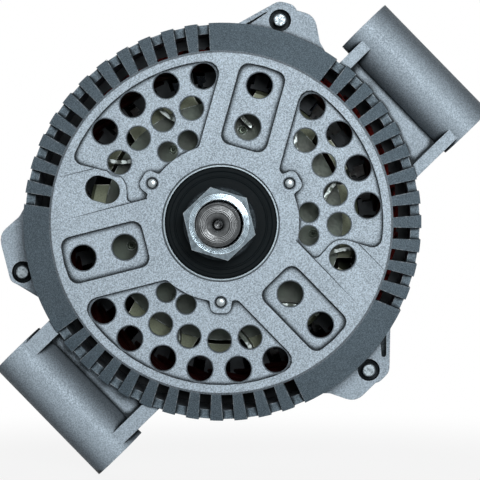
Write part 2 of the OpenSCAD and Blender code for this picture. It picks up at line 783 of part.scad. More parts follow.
// Fan: a pressed disc with curved blades, drawn from its own plate upwards
blade_t = 1.5;
blade_curve = 22;
blade_in_r = fan_r - blade_w;
module fan(turn, sense) {
  difference() {
    cylinder(h = fan_t, r = fan_r - 5);
    translate([0, 0, -past]) cylinder(h = fan_t + 2 * past, r = shoulder_r + 1);
    for (k = [0:3]) at(core_r - 1, turn + 90 * k)
      translate([0, 0, -past]) cylinder(h = fan_t + 2 * past, r = 2.2);
  }
  for (k = [0:blades - 1]) rotate([0, 0, turn + 360 * k / blades]) mirror([0, sense > 0 ? 0 : 1, 0])
    linear_extrude(height = fan_t + blade_h) intersection() {
      translate([fan_r + 7, -8]) difference() {
        circle(r = blade_curve);
        circle(r = blade_curve - blade_t);
      }
      difference() {
        circle(r = fan_r);
        circle(r = blade_in_r);
      }
      translate([0, -0.5]) square([fan_r + past, 16]);
    }
}

module front_fan() {
  color([0.45, 0.47, 0.36]) face_frame() translate([0, 0, -rotor_front]) fan(8, 1);
}

module rear_fan() {
  color([0.45, 0.47, 0.36]) face_frame() translate([0, 0, -rotor_back]) mirror([0, 0, 1]) fan(20, -1);
}

hub_wall = 0.7;
module slip_ring_hub() {
  color([0.12, 0.12, 0.12]) face_frame() union() {
    ring(rotor_back + fan_t + seat_gap, tail_bearing_depth - 0.5, tail_r + press_gap + hub_wall,
      tail_r + press_gap);
    ring(ring_front_depth - 2, ring_front_depth - press_gap, slip_ring_r - 0.4, tail_r + press_gap);
    ring(ring_front_depth + slip_ring_w + press_gap, ring_rear_depth - press_gap, slip_ring_r - 0.4,
      tail_r + press_gap);
  }
}

module slip_ring(from) {
  color([0.75, 0.5, 0.3]) face_frame()
    ring(from, from + slip_ring_w, slip_ring_r, tail_r + hub_wall + 2 * press_gap);
}

module slip_ring_front() {
  slip_ring(ring_front_depth);
}

module slip_ring_rear() {
  slip_ring(ring_rear_depth);
}

// Stator core: a slotted ring whose teeth widen at the bore
slot_depth = core_w - 7.5;
tooth_share = 0.5;
module stator_slot_outline(gap) {
  pitch_w = 2 * PI * stator_bore_r / stator_slots;
  w = pitch_w * tooth_share - 2 * gap;
  translate([stator_bore_r + 1.6 + gap, -w / 2]) square([slot_depth - 2 * gap, w]);
}

module stator_core() {
  mouth = 2;
  color([0.5, 0.5, 0.5]) face_frame() slab(stator_front, stator_back) difference() {
    circle(r = stator_r);
    circle(r = stator_bore_r);
    for (k = [0:stator_slots - 1]) rotate(360 * k / stator_slots) {
      stator_slot_outline(0);
      translate([stator_bore_r - past, -mouth / 2]) square([past + 3, mouth]);
    }
  }
}

// Winding: bars through the core's slots and a rounded ring of turns at each end
module winding_ring(from, to) {
  round_r = 4;
  rotate_extrude() polygon([for (q = rounded_outline([[winding_in_r, -to, round_r], [winding_r, -to, round_r],
    [winding_r, -from, round_r], [winding_in_r, -from, round_r]])) q]);
}

module stator_winding() {
  insulation = 0.25;
  color([0.45, 0.14, 0.1]) face_frame() union() {
    winding_ring(stator_front - winding_head, stator_front - 1);
    winding_ring(stator_back + 1, stator_back + winding_head);
    slab(stator_front - 2, stator_back + 2) for (k = [0:stator_slots - 1]) rotate(360 * k / stator_slots)
      stator_slot_outline(insulation);
  }
}

// Through bolts: heads behind the rear lugs, ends level with the front lugs
module through_bolts() {
  head = rear_start + rear_lug_t;
  head_h = 4.5;
  color("silver") face_frame() for (a = lug_angles) at(bolt_circle_r, a) {
    ring(lug_depth - 0.8, head + eps, bolt_r);
    taper(lug_depth - 1.2, lug_depth - 0.8, bolt_r - 0.4, bolt_r);
    ring(head, head + 1, bolt_r + 2.1);
    translate([0, 0, -head - head_h]) cylinder(h = head_h, r = (bolt_r + 1.5) / cos(30), $fn = 6);
  }
}

// Rear housing
back_edge = 8;
rear_slot_end = 8.5;
window_w = 24;
window_h = 25;
window_low = rear_bearing_r + boss_wall + 1.5;
window_high = window_low + window_h;
stud_angle = 214;
sink_r = case_in_r - 4.9;
diode_circle_r = sink_r - 21;
stud_circle_r = sink_r - 14;
screw_circle_r = sink_r - 4;
screw_r = 2;
screw_boss_r = 4.4;
screw_boss_h = 3;
rectifier_angles = [150, 196, 270, 335, 30];

module rear_shell() {
  rotate_extrude() polygon([[0, -rear_end], [case_r - back_edge, -rear_end], [case_r, -rear_end + back_edge],
    [case_r, -rear_start], [stator_r + seat_gap, -rear_start], [stator_r + seat_gap, -stator_back],
    [case_in_r, -stator_back], [case_in_r, -rear_end + back_edge + 1],
    [case_in_r - back_edge + 1, -back_inner],
    [0, -back_inner]]);
}

// Radial openings in the back plate and windows in the side wall
vent_w = 5.2;
vent_in_r = rear_bearing_r + boss_wall + 5.5;
vent_out_r = stud_circle_r + 1;
vent_count = 24;
module rear_vents() {
  for (k = [0:vent_count - 1]) {
    a = 360 * (k + 0.5) / vent_count;
    clear_of_stud = abs(a - stud_angle) > 13;
    clear_of_regulator = abs(a - 90) > 40;
    if (clear_of_stud && clear_of_regulator) rotate([0, 0, a])
      translate([vent_in_r, -vent_w / 2, -rear_end - past])
        cube([vent_out_r - vent_in_r, vent_w, back_t + 2 * past]);
  }
  for (a = third_angles) for (k = [0:slots_per_third - 1])
    rotate([0, 0, a + (k - (slots_per_third - 1) / 2) * slot_pitch])
      translate([case_in_r - back_edge - 2, -slot_w / 2, -back_inner + 1])
        cube([case_wall + back_edge + 4, slot_w, back_inner - 1 - stator_back - rear_slot_end]);
}

module rear_housing() {
  color([0.6, 0.63, 0.65]) face_frame() difference() {
    union() {
      difference() {
        rear_shell();
        rear_vents();
      }
      for (a = lug_angles) rotate([0, 0, a]) difference() {
        lug(rear_lug, rear_start, rear_start + rear_lug_t);
        slab(rear_start - past, rear_start + lug_pocket_depth) polygon(lug_points(lug_pocket));
      }
      ring(tail_bearing_depth - 1, boss_back, rear_bearing_r + boss_wall);
      for (a = rectifier_angles) at(screw_circle_r, a)
        ring(back_inner - screw_boss_h, back_inner + eps, screw_boss_r);
    }
    ring(rear_start - past, stator_back, stator_r + seat_gap);
    ring(tail_bearing_depth - 1 - past, tail_bearing_back, rear_bearing_r + press_gap);
    for (a = lug_angles) at(bolt_circle_r, a)
      ring(rear_start - past, rear_start + rear_lug_t + past, bolt_r + seat_gap);
    translate([-window_w / 2, window_low, -rear_end - past])
      cube([window_w, window_high - window_low, back_t + 2 * past]);
    at(stud_circle_r, stud_angle) ring(back_inner - past, rear_end + past, stud_r + stud_sleeve);
    for (a = rectifier_angles) at(screw_circle_r, a)
      ring(back_inner - screw_boss_h - past, rear_end + past, screw_r + 2 * seat_gap);
    for (q = regulator_holes) translate(q) ring(back_inner - past, rear_end + past, screw_r + press_gap);
  }
}

module rear_bearing_outer_ring() {
  color("silver") face_frame()
    outer_race(tail_bearing_depth, rear_bearing_w, rear_bearing_r, rear_pitch_r, rear_ball_r);
}

module rear_bearing_inner_ring() {
  color("silver") face_frame()
    inner_race(tail_bearing_depth, rear_bearing_w, tail_r, rear_pitch_r, rear_ball_r);
}

module rear_bearing_balls() {
  color("gainsboro") face_frame()
    bearing_balls(tail_bearing_depth, rear_bearing_w, rear_pitch_r, rear_ball_r, rear_balls);
}

module rear_bearing_cage() {
  color("darkgoldenrod") face_frame()
    bearing_cage(tail_bearing_depth, rear_bearing_w, rear_pitch_r, rear_ball_r, rear_balls);
}

module rear_bearing_seals() {
  color([0.08, 0.1, 0.11]) face_frame()
    bearing_seals(tail_bearing_depth, rear_bearing_w, rear_pitch_r, rear_ball_r);
}

// Rectifier: two horseshoe heat sinks with diodes pressed into both
sink_t = 2.5;
sink_gap = 3.5;
negative_depth = back_inner - screw_boss_h - sink_t;
positive_depth = negative_depth - sink_gap - sink_t;
sink_in_r = 30;
sink_open = 38;
diode_r = 6;
diode_h = 7;
diode_angles_negative = [0, 178, 232, 252, 300, 318];
diode_angles_positive = [12, 190, 242, 288, 308, 350];

module sink_outline(r_out) {
  difference() {
    circle(r = r_out);
    circle(r = sink_in_r);
    polygon([[0, 0], polar(2 * r_out, 90 - sink_open), polar(2 * r_out, 90 + sink_open)]);
  }
}

// One heat sink with holes for its diodes, the screws and the stud
module sink(from, r_out, diode_angles, screw_hole_r, stud_hole_r) {
  slab(from, from + sink_t) difference() {
    sink_outline(r_out);
    for (a = diode_angles) at(diode_circle_r, a) circle(r = diode_r + press_gap);
    for (a = rectifier_angles) at(screw_circle_r, a) circle(r = screw_hole_r);
    at(stud_circle_r, stud_angle) circle(r = stud_hole_r);
  }
}

spacer_r = 3.6;
module rectifier_plate_negative() {
  color([0.7, 0.72, 0.73]) face_frame()
    sink(negative_depth, sink_r, diode_angles_negative, screw_r + 2 * seat_gap, stud_r + 2);
}

module rectifier_plate_positive() {
  color([0.72, 0.7, 0.62]) face_frame()
    sink(positive_depth, sink_r, diode_angles_positive, spacer_r + seat_gap, stud_r + press_gap);
}

// Button diode: a body pressed into its plate and a lead in its middle
module diode(plate, a) {
  at(diode_circle_r, a) {
    ring(plate - 0.5, plate + sink_t, diode_r);
    ring(plate - 0.8, plate - 0.5 + eps, 1.2);
  }
}

module rectifier_diodes() {
  color([0.3, 0.3, 0.32]) face_frame() {
    for (a = diode_angles_negative) diode(negative_depth, a);
    for (a = diode_angles_positive) diode(positive_depth, a);
  }
}

// Insulating spacers: each has a sleeve through the positive plate
module rectifier_spacers() {
  color([0.15, 0.13, 0.12]) face_frame() for (a = rectifier_angles) at(screw_circle_r, a) difference() {
    union() {
      ring(positive_depth, negative_depth, spacer_r);
      ring(positive_depth + sink_t, negative_depth, spacer_r + 1.8);
    }
    ring(positive_depth - past, negative_depth + past, screw_r + seat_gap);
  }
}

// Screws from behind hold the plates to the back of the housing
module rectifier_screws() {
  color("silver") face_frame() for (a = rectifier_angles) at(screw_circle_r, a) {
    ring(positive_depth, rear_end + eps, screw_r);
    difference() {
      ring(rear_end, rear_end + small_head_h, small_head_r);
      translate([0, 0, -rear_end - small_head_h - eps]) cylinder(h = 1.5, r = socket_r, $fn = 6);
    }
  }
}

insulator_t = 3.5;
stud_sleeve = 3;
stud_flange = 5.5;
stud_nut_h = 6.5;
stud_nut_r = 6.5;
stud_washer_t = 1.2;
module battery_stud() {
  stud_end = rear_end + stud_len;
  color([0.75, 0.7, 0.5]) face_frame() at(stud_circle_r, stud_angle) {
    ring(positive_depth, stud_end - 1, stud_r);
    taper(stud_end - 1, stud_end, stud_r, stud_r - 1);
  }
}

module stud_insulator() {
  color([0.55, 0.1, 0.08]) face_frame() at(stud_circle_r, stud_angle) difference() {
    union() {
      ring(negative_depth + sink_t + seat_gap, rear_end + seat_gap, stud_r + stud_sleeve - seat_gap);
      ring(rear_end + seat_gap, rear_end + insulator_t, stud_r + stud_flange);
    }
    ring(negative_depth, rear_end + insulator_t + past, stud_r + press_gap);
  }
}

module stud_nut() {
  from = rear_end + insulator_t;
  color([0.75, 0.7, 0.5]) face_frame() at(stud_circle_r, stud_angle) difference() {
    union() {
      ring(from, from + stud_washer_t, stud_nut_r + 2.1);
      translate([0, 0, -from - stud_washer_t - stud_nut_h])
        cylinder(h = stud_nut_h + eps, r = stud_nut_r / cos(30), $fn = 6);
    }
    ring(from - past, from + stud_washer_t + stud_nut_h + past, stud_r + press_gap);
  }
}

// Regulator: a moulded box behind the back plate, with the brush holder in one piece below it
regulator_low = rear_bearing_r + boss_wall + 1;
regulator_top = regulator_low + regulator_h;
regulator_back = rear_end + regulator_t;
regulator_corner_r = 5;
regulator_step = 3;
hole_inset = 5;
regulator_holes = [for (sx = [-1, 1]) for (y = [regulator_low + hole_inset, regulator_top - hole_inset])
  [sx * (regulator_w / 2 - hole_inset), y]];
socket_w = 26;
socket_h = 13;
socket_wall = 1.6;
socket_len = 13;
socket_corner_r = 4;
socket_pos = [0, regulator_low + regulator_h / 2];

module rounded_box(w, h, r) {
  polygon(rounded_outline([[-w / 2, -h / 2, r], [w / 2, -h / 2, r], [w / 2, h / 2, r], [-w / 2, h / 2, r]]));
}

module regulator() {
  middle = (regulator_low + regulator_top) / 2;
  color([0.1, 0.1, 0.11]) face_frame() difference() {
    union() {
      translate([0, middle]) slab(rear_end, regulator_back - regulator_step)
        rounded_box(regulator_w, regulator_h, regulator_corner_r);
      translate([0, middle]) slab(regulator_back - regulator_step - eps, regulator_back)
        rounded_box(regulator_w - 2 * (hole_inset + small_head_r + past), regulator_h - 3,
          regulator_corner_r - 1.5);
      translate(socket_pos) slab(regulator_back - eps, regulator_back + socket_len)
        rounded_box(socket_w, socket_h, socket_corner_r);
    }
    translate(socket_pos) slab(regulator_back, regulator_back + socket_len + past)
      rounded_box(socket_w - 2 * socket_wall, socket_h - 2 * socket_wall, socket_corner_r - socket_wall);
    for (q = regulator_holes) translate(q) ring(rear_end - past, regulator_back + past, screw_r + seat_gap);
  }
}

// Flat terminals in the socket
terminal_w = 3;
terminal_t = 0.8;
terminal_len = 7.5;
terminal_pitch = 6.5;
module regulator_terminals() {
  color([0.8, 0.8, 0.8]) face_frame() for (k = [-1:1])
    translate([socket_pos[0] + terminal_pitch * k - terminal_w / 2, socket_pos[1] - terminal_t / 2,
      -regulator_back - terminal_len]) cube([terminal_w, terminal_t, terminal_len]);
}

// Brush holder: a neck through the housing's window and a guide for each brush
brush_t = slip_ring_w - 0.6;
brush_room = 0.1;
brush_low = slip_ring_r + 0.15;
spring_room = 9.05;
guide_low = window_low + 0.2;
guide_high = brush_low + brush_len + spring_room;
neck_high = window_high - 0.5;
neck_from = rotor_back + fan_t + blade_h + 1;
front_brush_mid = ring_front_depth + slip_ring_w / 2;
rear_brush_mid = ring_rear_depth + slip_ring_w / 2;
guide_wall = 1.6;
module brush_shaft(mid) {
  w = brush_w + 2 * brush_room;
  t = brush_t + 2 * brush_room;
  translate([-w / 2, guide_low - past, -mid - t / 2])
    cube([w, guide_high - guide_low - guide_wall + past, t]);
}

module brush_holder() {
  color([0.14, 0.13, 0.12]) face_frame() difference() {
    union() {
      translate([-brush_w / 2 - guide_wall, guide_low, -rear_brush_mid - brush_t / 2 - guide_wall])
        cube([brush_w + 2 * guide_wall, guide_high - guide_low,
          rear_brush_mid - front_brush_mid + brush_t + 2 * guide_wall]);
      translate([-window_w / 2 + 0.3, guide_low, -rear_end + eps])
        cube([window_w - 0.6, neck_high - guide_low, rear_end - neck_from]);
    }
    brush_shaft(front_brush_mid);
    brush_shaft(rear_brush_mid);
  }
}

// Carbon brush with its end hollowed to the slip ring
module brush(mid) {
  color([0.2, 0.2, 0.2]) face_frame() difference() {
    translate([-brush_w / 2, brush_low - 1, -mid - brush_t / 2]) cube([brush_w, brush_len + 1, brush_t]);
    ring(mid - brush_t, mid + brush_t, brush_low);
  }
}

module brush_front() {
  brush(front_brush_mid);
}

module brush_rear() {
  brush(rear_brush_mid);
}

// Spring: a wire swept along a helix between the brush and the end of its guide
spring_wire_r = 0.3;
spring_r = 1.5;
spring_turns = 6;
module brush_spring(mid) {
  sides = 6;
  steps = 10 * spring_turns;
  from = brush_low + brush_len + spring_wire_r + 0.05;
  to = guide_high - guide_wall - spring_wire_r - 0.05;
  points = [for (k = [0:steps]) let (t = 360 * spring_turns * k / steps, y = from + (to - from) * k / steps)
    for (i = [0:sides - 1]) let (s = 360 * i / sides, r = spring_r + spring_wire_r * cos(s))
      [r * cos(t), y + spring_wire_r * sin(s), r * sin(t)]];
  sides_faces = [for (k = [0:steps - 1]) for (i = [0:sides - 1]) let (j = (i + 1) % sides)
    [k * sides + i, k * sides + j, (k + 1) * sides + j, (k + 1) * sides + i]];
  ends = [[for (i = [sides - 1:-1:0]) i], [for (i = [0:sides - 1]) steps * sides + i]];
  color([0.75, 0.72, 0.6]) face_frame() translate([0, 0, -mid]) polyhedron(points, concat(sides_faces, ends));
}

module brush_spring_front() {
  brush_spring(front_brush_mid);
}

module brush_spring_rear() {
  brush_spring(rear_brush_mid);
}

module regulator_screws() {
  head = regulator_back - regulator_step;
  color("silver") face_frame() for (q = regulator_holes) translate(q) {
    ring(back_inner, head + eps, screw_r);
    difference() {
      ring(head, head + small_head_h, small_head_r);
      translate([0, 0, -head - small_head_h - eps]) cylinder(h = 1.5, r = socket_r, $fn = 6);
    }
  }
}

drive_end_housing();
upper_barrel_bush();
lower_barrel_bush();
front_bearing_outer_ring();
front_bearing_inner_ring();
front_bearing_balls();
front_bearing_cage();
front_bearing_seals();
bearing_retainer_plate();
retainer_screws();
pulley_nut();
nut_washer();
shaft_spacer();
rotor_shaft();
claw_pole_front();
claw_pole_rear();
rotor_core();
field_bobbin();
field_coil();
front_fan();
rear_fan();
slip_ring_hub();
slip_ring_front();
slip_ring_rear();
stator_core();
stator_winding();
through_bolts();
rear_housing();
rear_bearing_outer_ring();
rear_bearing_inner_ring();
rear_bearing_balls();
rear_bearing_cage();
rear_bearing_seals();
rectifier_plate_negative();
rectifier_plate_positive();
rectifier_diodes();
rectifier_spacers();
rectifier_screws();
battery_stud();
stud_insulator();
stud_nut();
regulator();
brush_holder();
brush_front();
brush_rear();
brush_spring_front();
brush_spring_rear();
regulator_screws();
regulator_terminals();
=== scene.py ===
import math

import bpy
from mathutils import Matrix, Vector


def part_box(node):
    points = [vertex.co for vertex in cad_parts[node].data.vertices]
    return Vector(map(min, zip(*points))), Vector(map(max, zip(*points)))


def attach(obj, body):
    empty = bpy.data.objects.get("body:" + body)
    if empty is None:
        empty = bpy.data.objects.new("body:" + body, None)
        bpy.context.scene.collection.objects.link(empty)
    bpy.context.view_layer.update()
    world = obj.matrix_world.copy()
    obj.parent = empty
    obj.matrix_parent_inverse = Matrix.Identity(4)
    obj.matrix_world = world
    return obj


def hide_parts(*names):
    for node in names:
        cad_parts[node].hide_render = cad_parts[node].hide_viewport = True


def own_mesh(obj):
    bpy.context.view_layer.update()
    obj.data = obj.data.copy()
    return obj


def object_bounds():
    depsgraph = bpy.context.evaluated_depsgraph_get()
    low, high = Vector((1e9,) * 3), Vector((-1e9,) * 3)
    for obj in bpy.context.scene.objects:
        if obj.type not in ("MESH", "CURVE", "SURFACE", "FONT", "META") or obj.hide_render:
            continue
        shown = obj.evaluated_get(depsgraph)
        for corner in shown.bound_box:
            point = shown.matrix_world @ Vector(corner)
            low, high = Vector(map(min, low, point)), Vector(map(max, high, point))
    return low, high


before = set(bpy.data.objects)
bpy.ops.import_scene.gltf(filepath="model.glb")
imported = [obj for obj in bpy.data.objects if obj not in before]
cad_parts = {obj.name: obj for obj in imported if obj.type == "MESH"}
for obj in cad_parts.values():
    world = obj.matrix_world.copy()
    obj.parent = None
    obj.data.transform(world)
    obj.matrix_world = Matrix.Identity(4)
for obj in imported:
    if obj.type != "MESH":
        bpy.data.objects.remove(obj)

# Lengths are in millimetres in the pieces' dictionaries and where a name says Mm, otherwise in metres.
# The origin is on the shaft axis in the plane of the face; the shaft points to -Y.
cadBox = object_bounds()
mm = 0.001
print("frame loaded:", len(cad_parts), "nodes")


def colour(code):
    # A web colour as linear values with alpha
    parts = [int(code[i:i + 2], 16) / 255 for i in (0, 2, 4)]
    return tuple(p / 12.92 if p <= 0.04045 else ((p + 0.055) / 1.055) ** 2.4 for p in parts) + (1,)


def toned(code, share):
    # The same colour, share times as bright
    return tuple(min(1, part * share) for part in colour(code)[:3]) + (1,)


# Materials: put() adds a node; each input takes a value or another node's output
def startMaterial(name, base, metallic, roughness):
    material = bpy.data.materials.new(name)
    material.use_nodes = True
    shader = material.node_tree.nodes["Principled BSDF"]
    shader.inputs["Base Color"].default_value = colour(base)
    shader.inputs["Metallic"].default_value = metallic
    shader.inputs["Roughness"].default_value = roughness
    return material, shader


def put(material, kind, inputs=None, **settings):
    # Works on the world's nodes too
    node = material.node_tree.nodes.new(kind)
    for key, value in settings.items():
        setattr(node, key, value)
    for key, value in (inputs or {}).items():
        if isinstance(value, bpy.types.NodeSocket):
            material.node_tree.links.new(value, node.inputs[key])
        else:
            node.inputs[key].default_value = value
    return node


def link(material, output, target):
    material.node_tree.links.new(output, target)


def objectPlace(material):
    return put(material, "ShaderNodeTexCoord").outputs["Object"]


# Grain is shifted and turned so that no flat face lies along its lattice
grainTurn = {"shift": (0.013, 0.0072, 0.0041), "angles": (0.61, 0.37, 0.83)}


def grain(material, place, sizeMm, detail=2.0, roughness=0.5):
    # Noise whose spots are about sizeMm across
    turned = put(material, "ShaderNodeMapping", {"Vector": place, "Location": grainTurn["shift"],
                 "Rotation": grainTurn["angles"]}).outputs["Vector"]
    return put(material, "ShaderNodeTexNoise", {"Vector": turned, "Scale": 1 / (sizeMm * mm),
               "Detail": detail, "Roughness": roughness}).outputs["Fac"]


def ease(material, value, low, high, lowOut=0.0, highOut=1.0):
    return put(material, "ShaderNodeMapRange", {"Value": value, "From Min": low, "From Max": high,
               "To Min": lowOut, "To Max": highOut}, interpolation_type="SMOOTHSTEP").outputs["Result"]


def fadeOut(material, value, rangeMm):
    # 1 below the range and 0 past it
    return ease(material, value, rangeMm[0] * mm, rangeMm[1] * mm, 1, 0)


def fadeIn(material, value, rangeMm):
    return ease(material, value, rangeMm[0] * mm, rangeMm[1] * mm)


def calc(material, operation, a, b=0.0):
    return put(material, "ShaderNodeMath", {0: a, 1: b}, operation=operation).outputs["Value"]


def times(material, a, b):
    return calc(material, "MULTIPLY", a, b)


def blendColours(material, share, a, b, mode="MIX"):
    node = put(material, "ShaderNodeMix", {"Factor": share, 6: a, 7: b}, data_type="RGBA", blend_type=mode)
    return node.outputs[2]


def distance(material, place):
    return put(material, "ShaderNodeVectorMath", {0: place}, operation="LENGTH").outputs["Value"]


def shaftRadius(material, place):
    # Distance of the shaded point from the shaft axis
    flat = put(material, "ShaderNodeVectorMath", {0: place, 1: (1, 0, 1)}, operation="MULTIPLY")
    return distance(material, flat.outputs["Vector"])


def depthBehindFace(material, place):
    return put(material, "ShaderNodeSeparateXYZ", {"Vector": place}).outputs["Y"]


def ripple(material, value, lineMm):
    # A wave from -1 to 1 that repeats every lineMm
    return calc(material, "SINE", times(material, value, 2 * math.pi / (lineMm * mm)))


def addBump(material, shader, height, depthMm, normal=None):
    inputs = {"Height": height, "Strength": 1.0, "Distance": depthMm * mm}
    if normal is not None:
        inputs["Normal"] = normal
    bump = put(material, "ShaderNodeBump", inputs)
    link(material, bump.outputs["Normal"], shader.inputs["Normal"])


def softEdges(material, radiusMm):
    return put(material, "ShaderNodeBevel", {"Radius": radiusMm * mm}, samples=6).outputs["Normal"]


def inCorners(material, reachMm, full, none):
    # 1 where walls meet, 0 on open surfaces
    free = put(material, "ShaderNodeAmbientOcclusion", {"Distance": reachMm * mm}, samples=8).outputs["AO"]
    return ease(material, free, full, none, 1, 0)


def onEdges(material, reachMm, full=0.55, none=0.85):
    # 1 along outer edges: where metal is rubbed bright, and on the zinc where a highlight is painted
    thick = put(material, "ShaderNodeAmbientOcclusion", {"Distance": reachMm * mm}, samples=6,
                inside=True).outputs["AO"]
    return ease(material, thick, full, none, 1, 0)


def toneBy(material, base, tone):
    # The colour times a grey tone
    grey = put(material, "ShaderNodeCombineColor", {"Red": tone, "Green": tone, "Blue": tone})
    return blendColours(material, 1.0, base, grey.outputs["Color"], "MULTIPLY")


cornerShade = {"drawn": "11171a", "turned": "0d1113", "fan": "0d1110"}     # painted shade where walls meet, in corners and crevices

castLook = {
    "face": "a6b4bf",              # flat drive end face
    "shoulder": "65747e",          # sloped band and fins round the face: darker as-cast skin, and painted darker still for the shade on its slope
    "rough": "a0aeb9",             # walls, lugs and barrels
    "edge": "c3ccd2",              # rubbed edges
    "shadow": "0e1518",            # painted shade at recess edges and corners
    "metallic": 0.1,
    "roughness": 0.5,
    "specular": 0.06,
    "faceDepthMm": (5.2, 6.0),     # each pair: where a zone's fade starts and ends
    "bandInMm": (63.9, 64.3),
    "bandOutMm": (75.15, 75.55),
    "bandDepthMm": (12.7, 14.5),
    "sides": 0.38,                 # painted shade: how bright walls are beside the faces square to the shaft, front and back
    "tilt": (0.01, 0.5),           # from this tilt to this one a face turns into a wall
    "tiltPower": 0.6,
    "wornMm": 2.2,
    "wornFace": 0.2,               # share of the rubbed edges that the face keeps
    "rubMm": 0.5,
    "grainMm": 0.5,
    "patchMm": 14.0,
    "speckle": 0.34,               # how much lighter and darker the grain is
    "speckleWalls": 0.7,
    "pitMm": 0.05,
    "edgeMm": 0.4,
    "lineMm": 3.0,                 # how far the painted shade line reaches out of a corner
    "lineShare": 0.95,
}


def castAluminium(name, hasFace):
    look = castLook
    material, shader = startMaterial(name, look["rough"], look["metallic"], look["roughness"])
    shader.inputs["Specular IOR Level"].default_value = look["specular"]
    place = objectPlace(material)
    radius = shaftRadius(material, place)
    depth = depthBehindFace(material, place)
    base = colour(look["rough"])
    if hasFace:
        onFace = times(material, fadeOut(material, radius, look["bandInMm"]),
                       fadeOut(material, depth, look["faceDepthMm"]))
        onBand = times(material, fadeIn(material, radius, look["bandInMm"]),
                       fadeOut(material, radius, look["bandOutMm"]))
        onBand = times(material, onBand, fadeOut(material, depth, look["bandDepthMm"]))
        base = blendColours(material, onFace, base, colour(look["face"]))
        # The band is darker as-cast and also painted darker, a painted shade for its slope
        base = blendColours(material, onBand, base, colour(look["shoulder"]))
    # Painted shade: walls turned away from the shaft's direction are darkened, for light that falls from the
    # front; faces square to the shaft keep their colour
    facing = put(material, "ShaderNodeTexCoord").outputs["Normal"]
    along = put(material, "ShaderNodeSeparateXYZ", {"Vector": facing}).outputs["Y"]
    turnedAway = calc(material, "SUBTRACT", 1.0, calc(material, "ABSOLUTE", along))
    wall = put(material, "ShaderNodeMapRange", {"Value": turnedAway, "From Min": look["tilt"][0],
               "From Max": look["tilt"][1]}).outputs["Result"]
    sideShade = calc(material, "POWER", wall, look["tiltPower"])
    if hasFace:
        sideShade = times(material, sideShade, ease(material, onBand, 0, 1, 1, 0))
    base = toneBy(material, base, ease(material, sideShade, 0, 1, 1, look["sides"]))
    worn = ease(material, grain(material, place, look["wornMm"], 3), 0.42, 0.6, 0, 0.7)
    if hasFace:
        worn = times(material, worn, ease(material, onFace, 0, 1, 1, look["wornFace"]))
    rubbed = times(material, onEdges(material, look["rubMm"]), worn)
    base = blendColours(material, rubbed, base, colour(look["edge"]))
    fine = grain(material, place, look["grainMm"], 3, 0.65)
    patches = grain(material, place, look["patchMm"], 3)
    speckle = ease(material, fine, 0.36, 0.64, -look["speckle"], look["speckle"])
    if hasFace:
        machined = calc(material, "MAXIMUM", onFace, onBand)
        speckle = times(material, speckle, ease(material, machined, 0, 1, look["speckleWalls"], 1))
    tone = calc(material, "ADD", calc(material, "ADD", speckle, 1.0),
                ease(material, patches, 0.3, 0.7, -0.05, 0.05))
    base = toneBy(material, base, tone)
    # Painted shade: dark lines where walls meet, at recess edges and corners
    corners = times(material, inCorners(material, look["lineMm"], 0.62, 0.89), look["lineShare"])
    cornerShaded = blendColours(material, corners, base, colour(look["shadow"]))
    link(material, cornerShaded, shader.inputs["Base Color"])
    link(material, ease(material, fine, 0.35, 0.65, 0.62, 0.4), shader.inputs["Roughness"])
    addBump(material, shader, fine, look["pitMm"], softEdges(material, look["edgeMm"]))
    return material


def plainMetal(name, base, roughness, grainMm=0.8, pitMm=0.01, spread=0.06, edgeMm=0.2, cornerMm=1.0):
    # Rolled, sheared or drawn metal with slight spots
    material, shader = startMaterial(name, base, 1.0, roughness)
    place = objectPlace(material)
    spots = grain(material, place, grainMm, 3)
    dark = toned(base, 1 - 3 * spread)
    clean = blendColours(material, ease(material, spots, 0.3, 0.65), dark, colour(base))
    # Painted shade: corners darkened
    corners = inCorners(material, cornerMm, 0.3, 0.8)
    link(material, blendColours(material, corners, clean, colour(cornerShade["drawn"])),
         shader.inputs["Base Color"])
    link(material, ease(material, spots, 0.3, 0.7, roughness + spread, roughness - spread),
         shader.inputs["Roughness"])
    addBump(material, shader, spots, pitMm, softEdges(material, edgeMm))
    return material


def turnedMetal(name, base, roughness, lineMm, pitMm, edgeMm=0.15, contrast=0.3, cornerMm=1.2, edge=None):
    # Lathe marks: rings on end faces and bands along the shaft; edge is the colour of a painted highlight
    # along outer edges
    material, shader = startMaterial(name, base, 1.0, roughness)
    place = objectPlace(material)
    rings = calc(material, "ADD", shaftRadius(material, place), depthBehindFace(material, place))
    wander = times(material, grain(material, place, 3), 0.15 * mm)
    wave = ripple(material, calc(material, "ADD", rings, wander), lineMm)
    cuts = grain(material, place, 0.5, 3, 0.6)
    stain = grain(material, place, 2.5, 4)
    clean = blendColours(material, ease(material, stain, 0.4, 0.7), colour(base), toned(base, 0.6))
    tone = calc(material, "ADD", ease(material, wave, -1, 1, 1 - contrast, 1),
                ease(material, cuts, 0.35, 0.65, -0.12, 0.12))
    clean = toneBy(material, clean, tone)
    # Painted highlight: outer edges lightened towards the edge colour, in patches
    if edge:
        rubbed = times(material, onEdges(material, 0.7), ease(material, stain, 0.35, 0.55, 1, 0.35))
        clean = blendColours(material, rubbed, clean, colour(edge))
    # Painted shade: corners darkened
    corners = inCorners(material, cornerMm, 0.25, 0.85)
    link(material, blendColours(material, corners, clean, colour(cornerShade["turned"])),
         shader.inputs["Base Color"])
    link(material, ease(material, wave, -1, 1, roughness - 0.06, roughness + 0.08),
         shader.inputs["Roughness"])
    addBump(material, shader, wave, pitMm, softEdges(material, edgeMm))
    return material


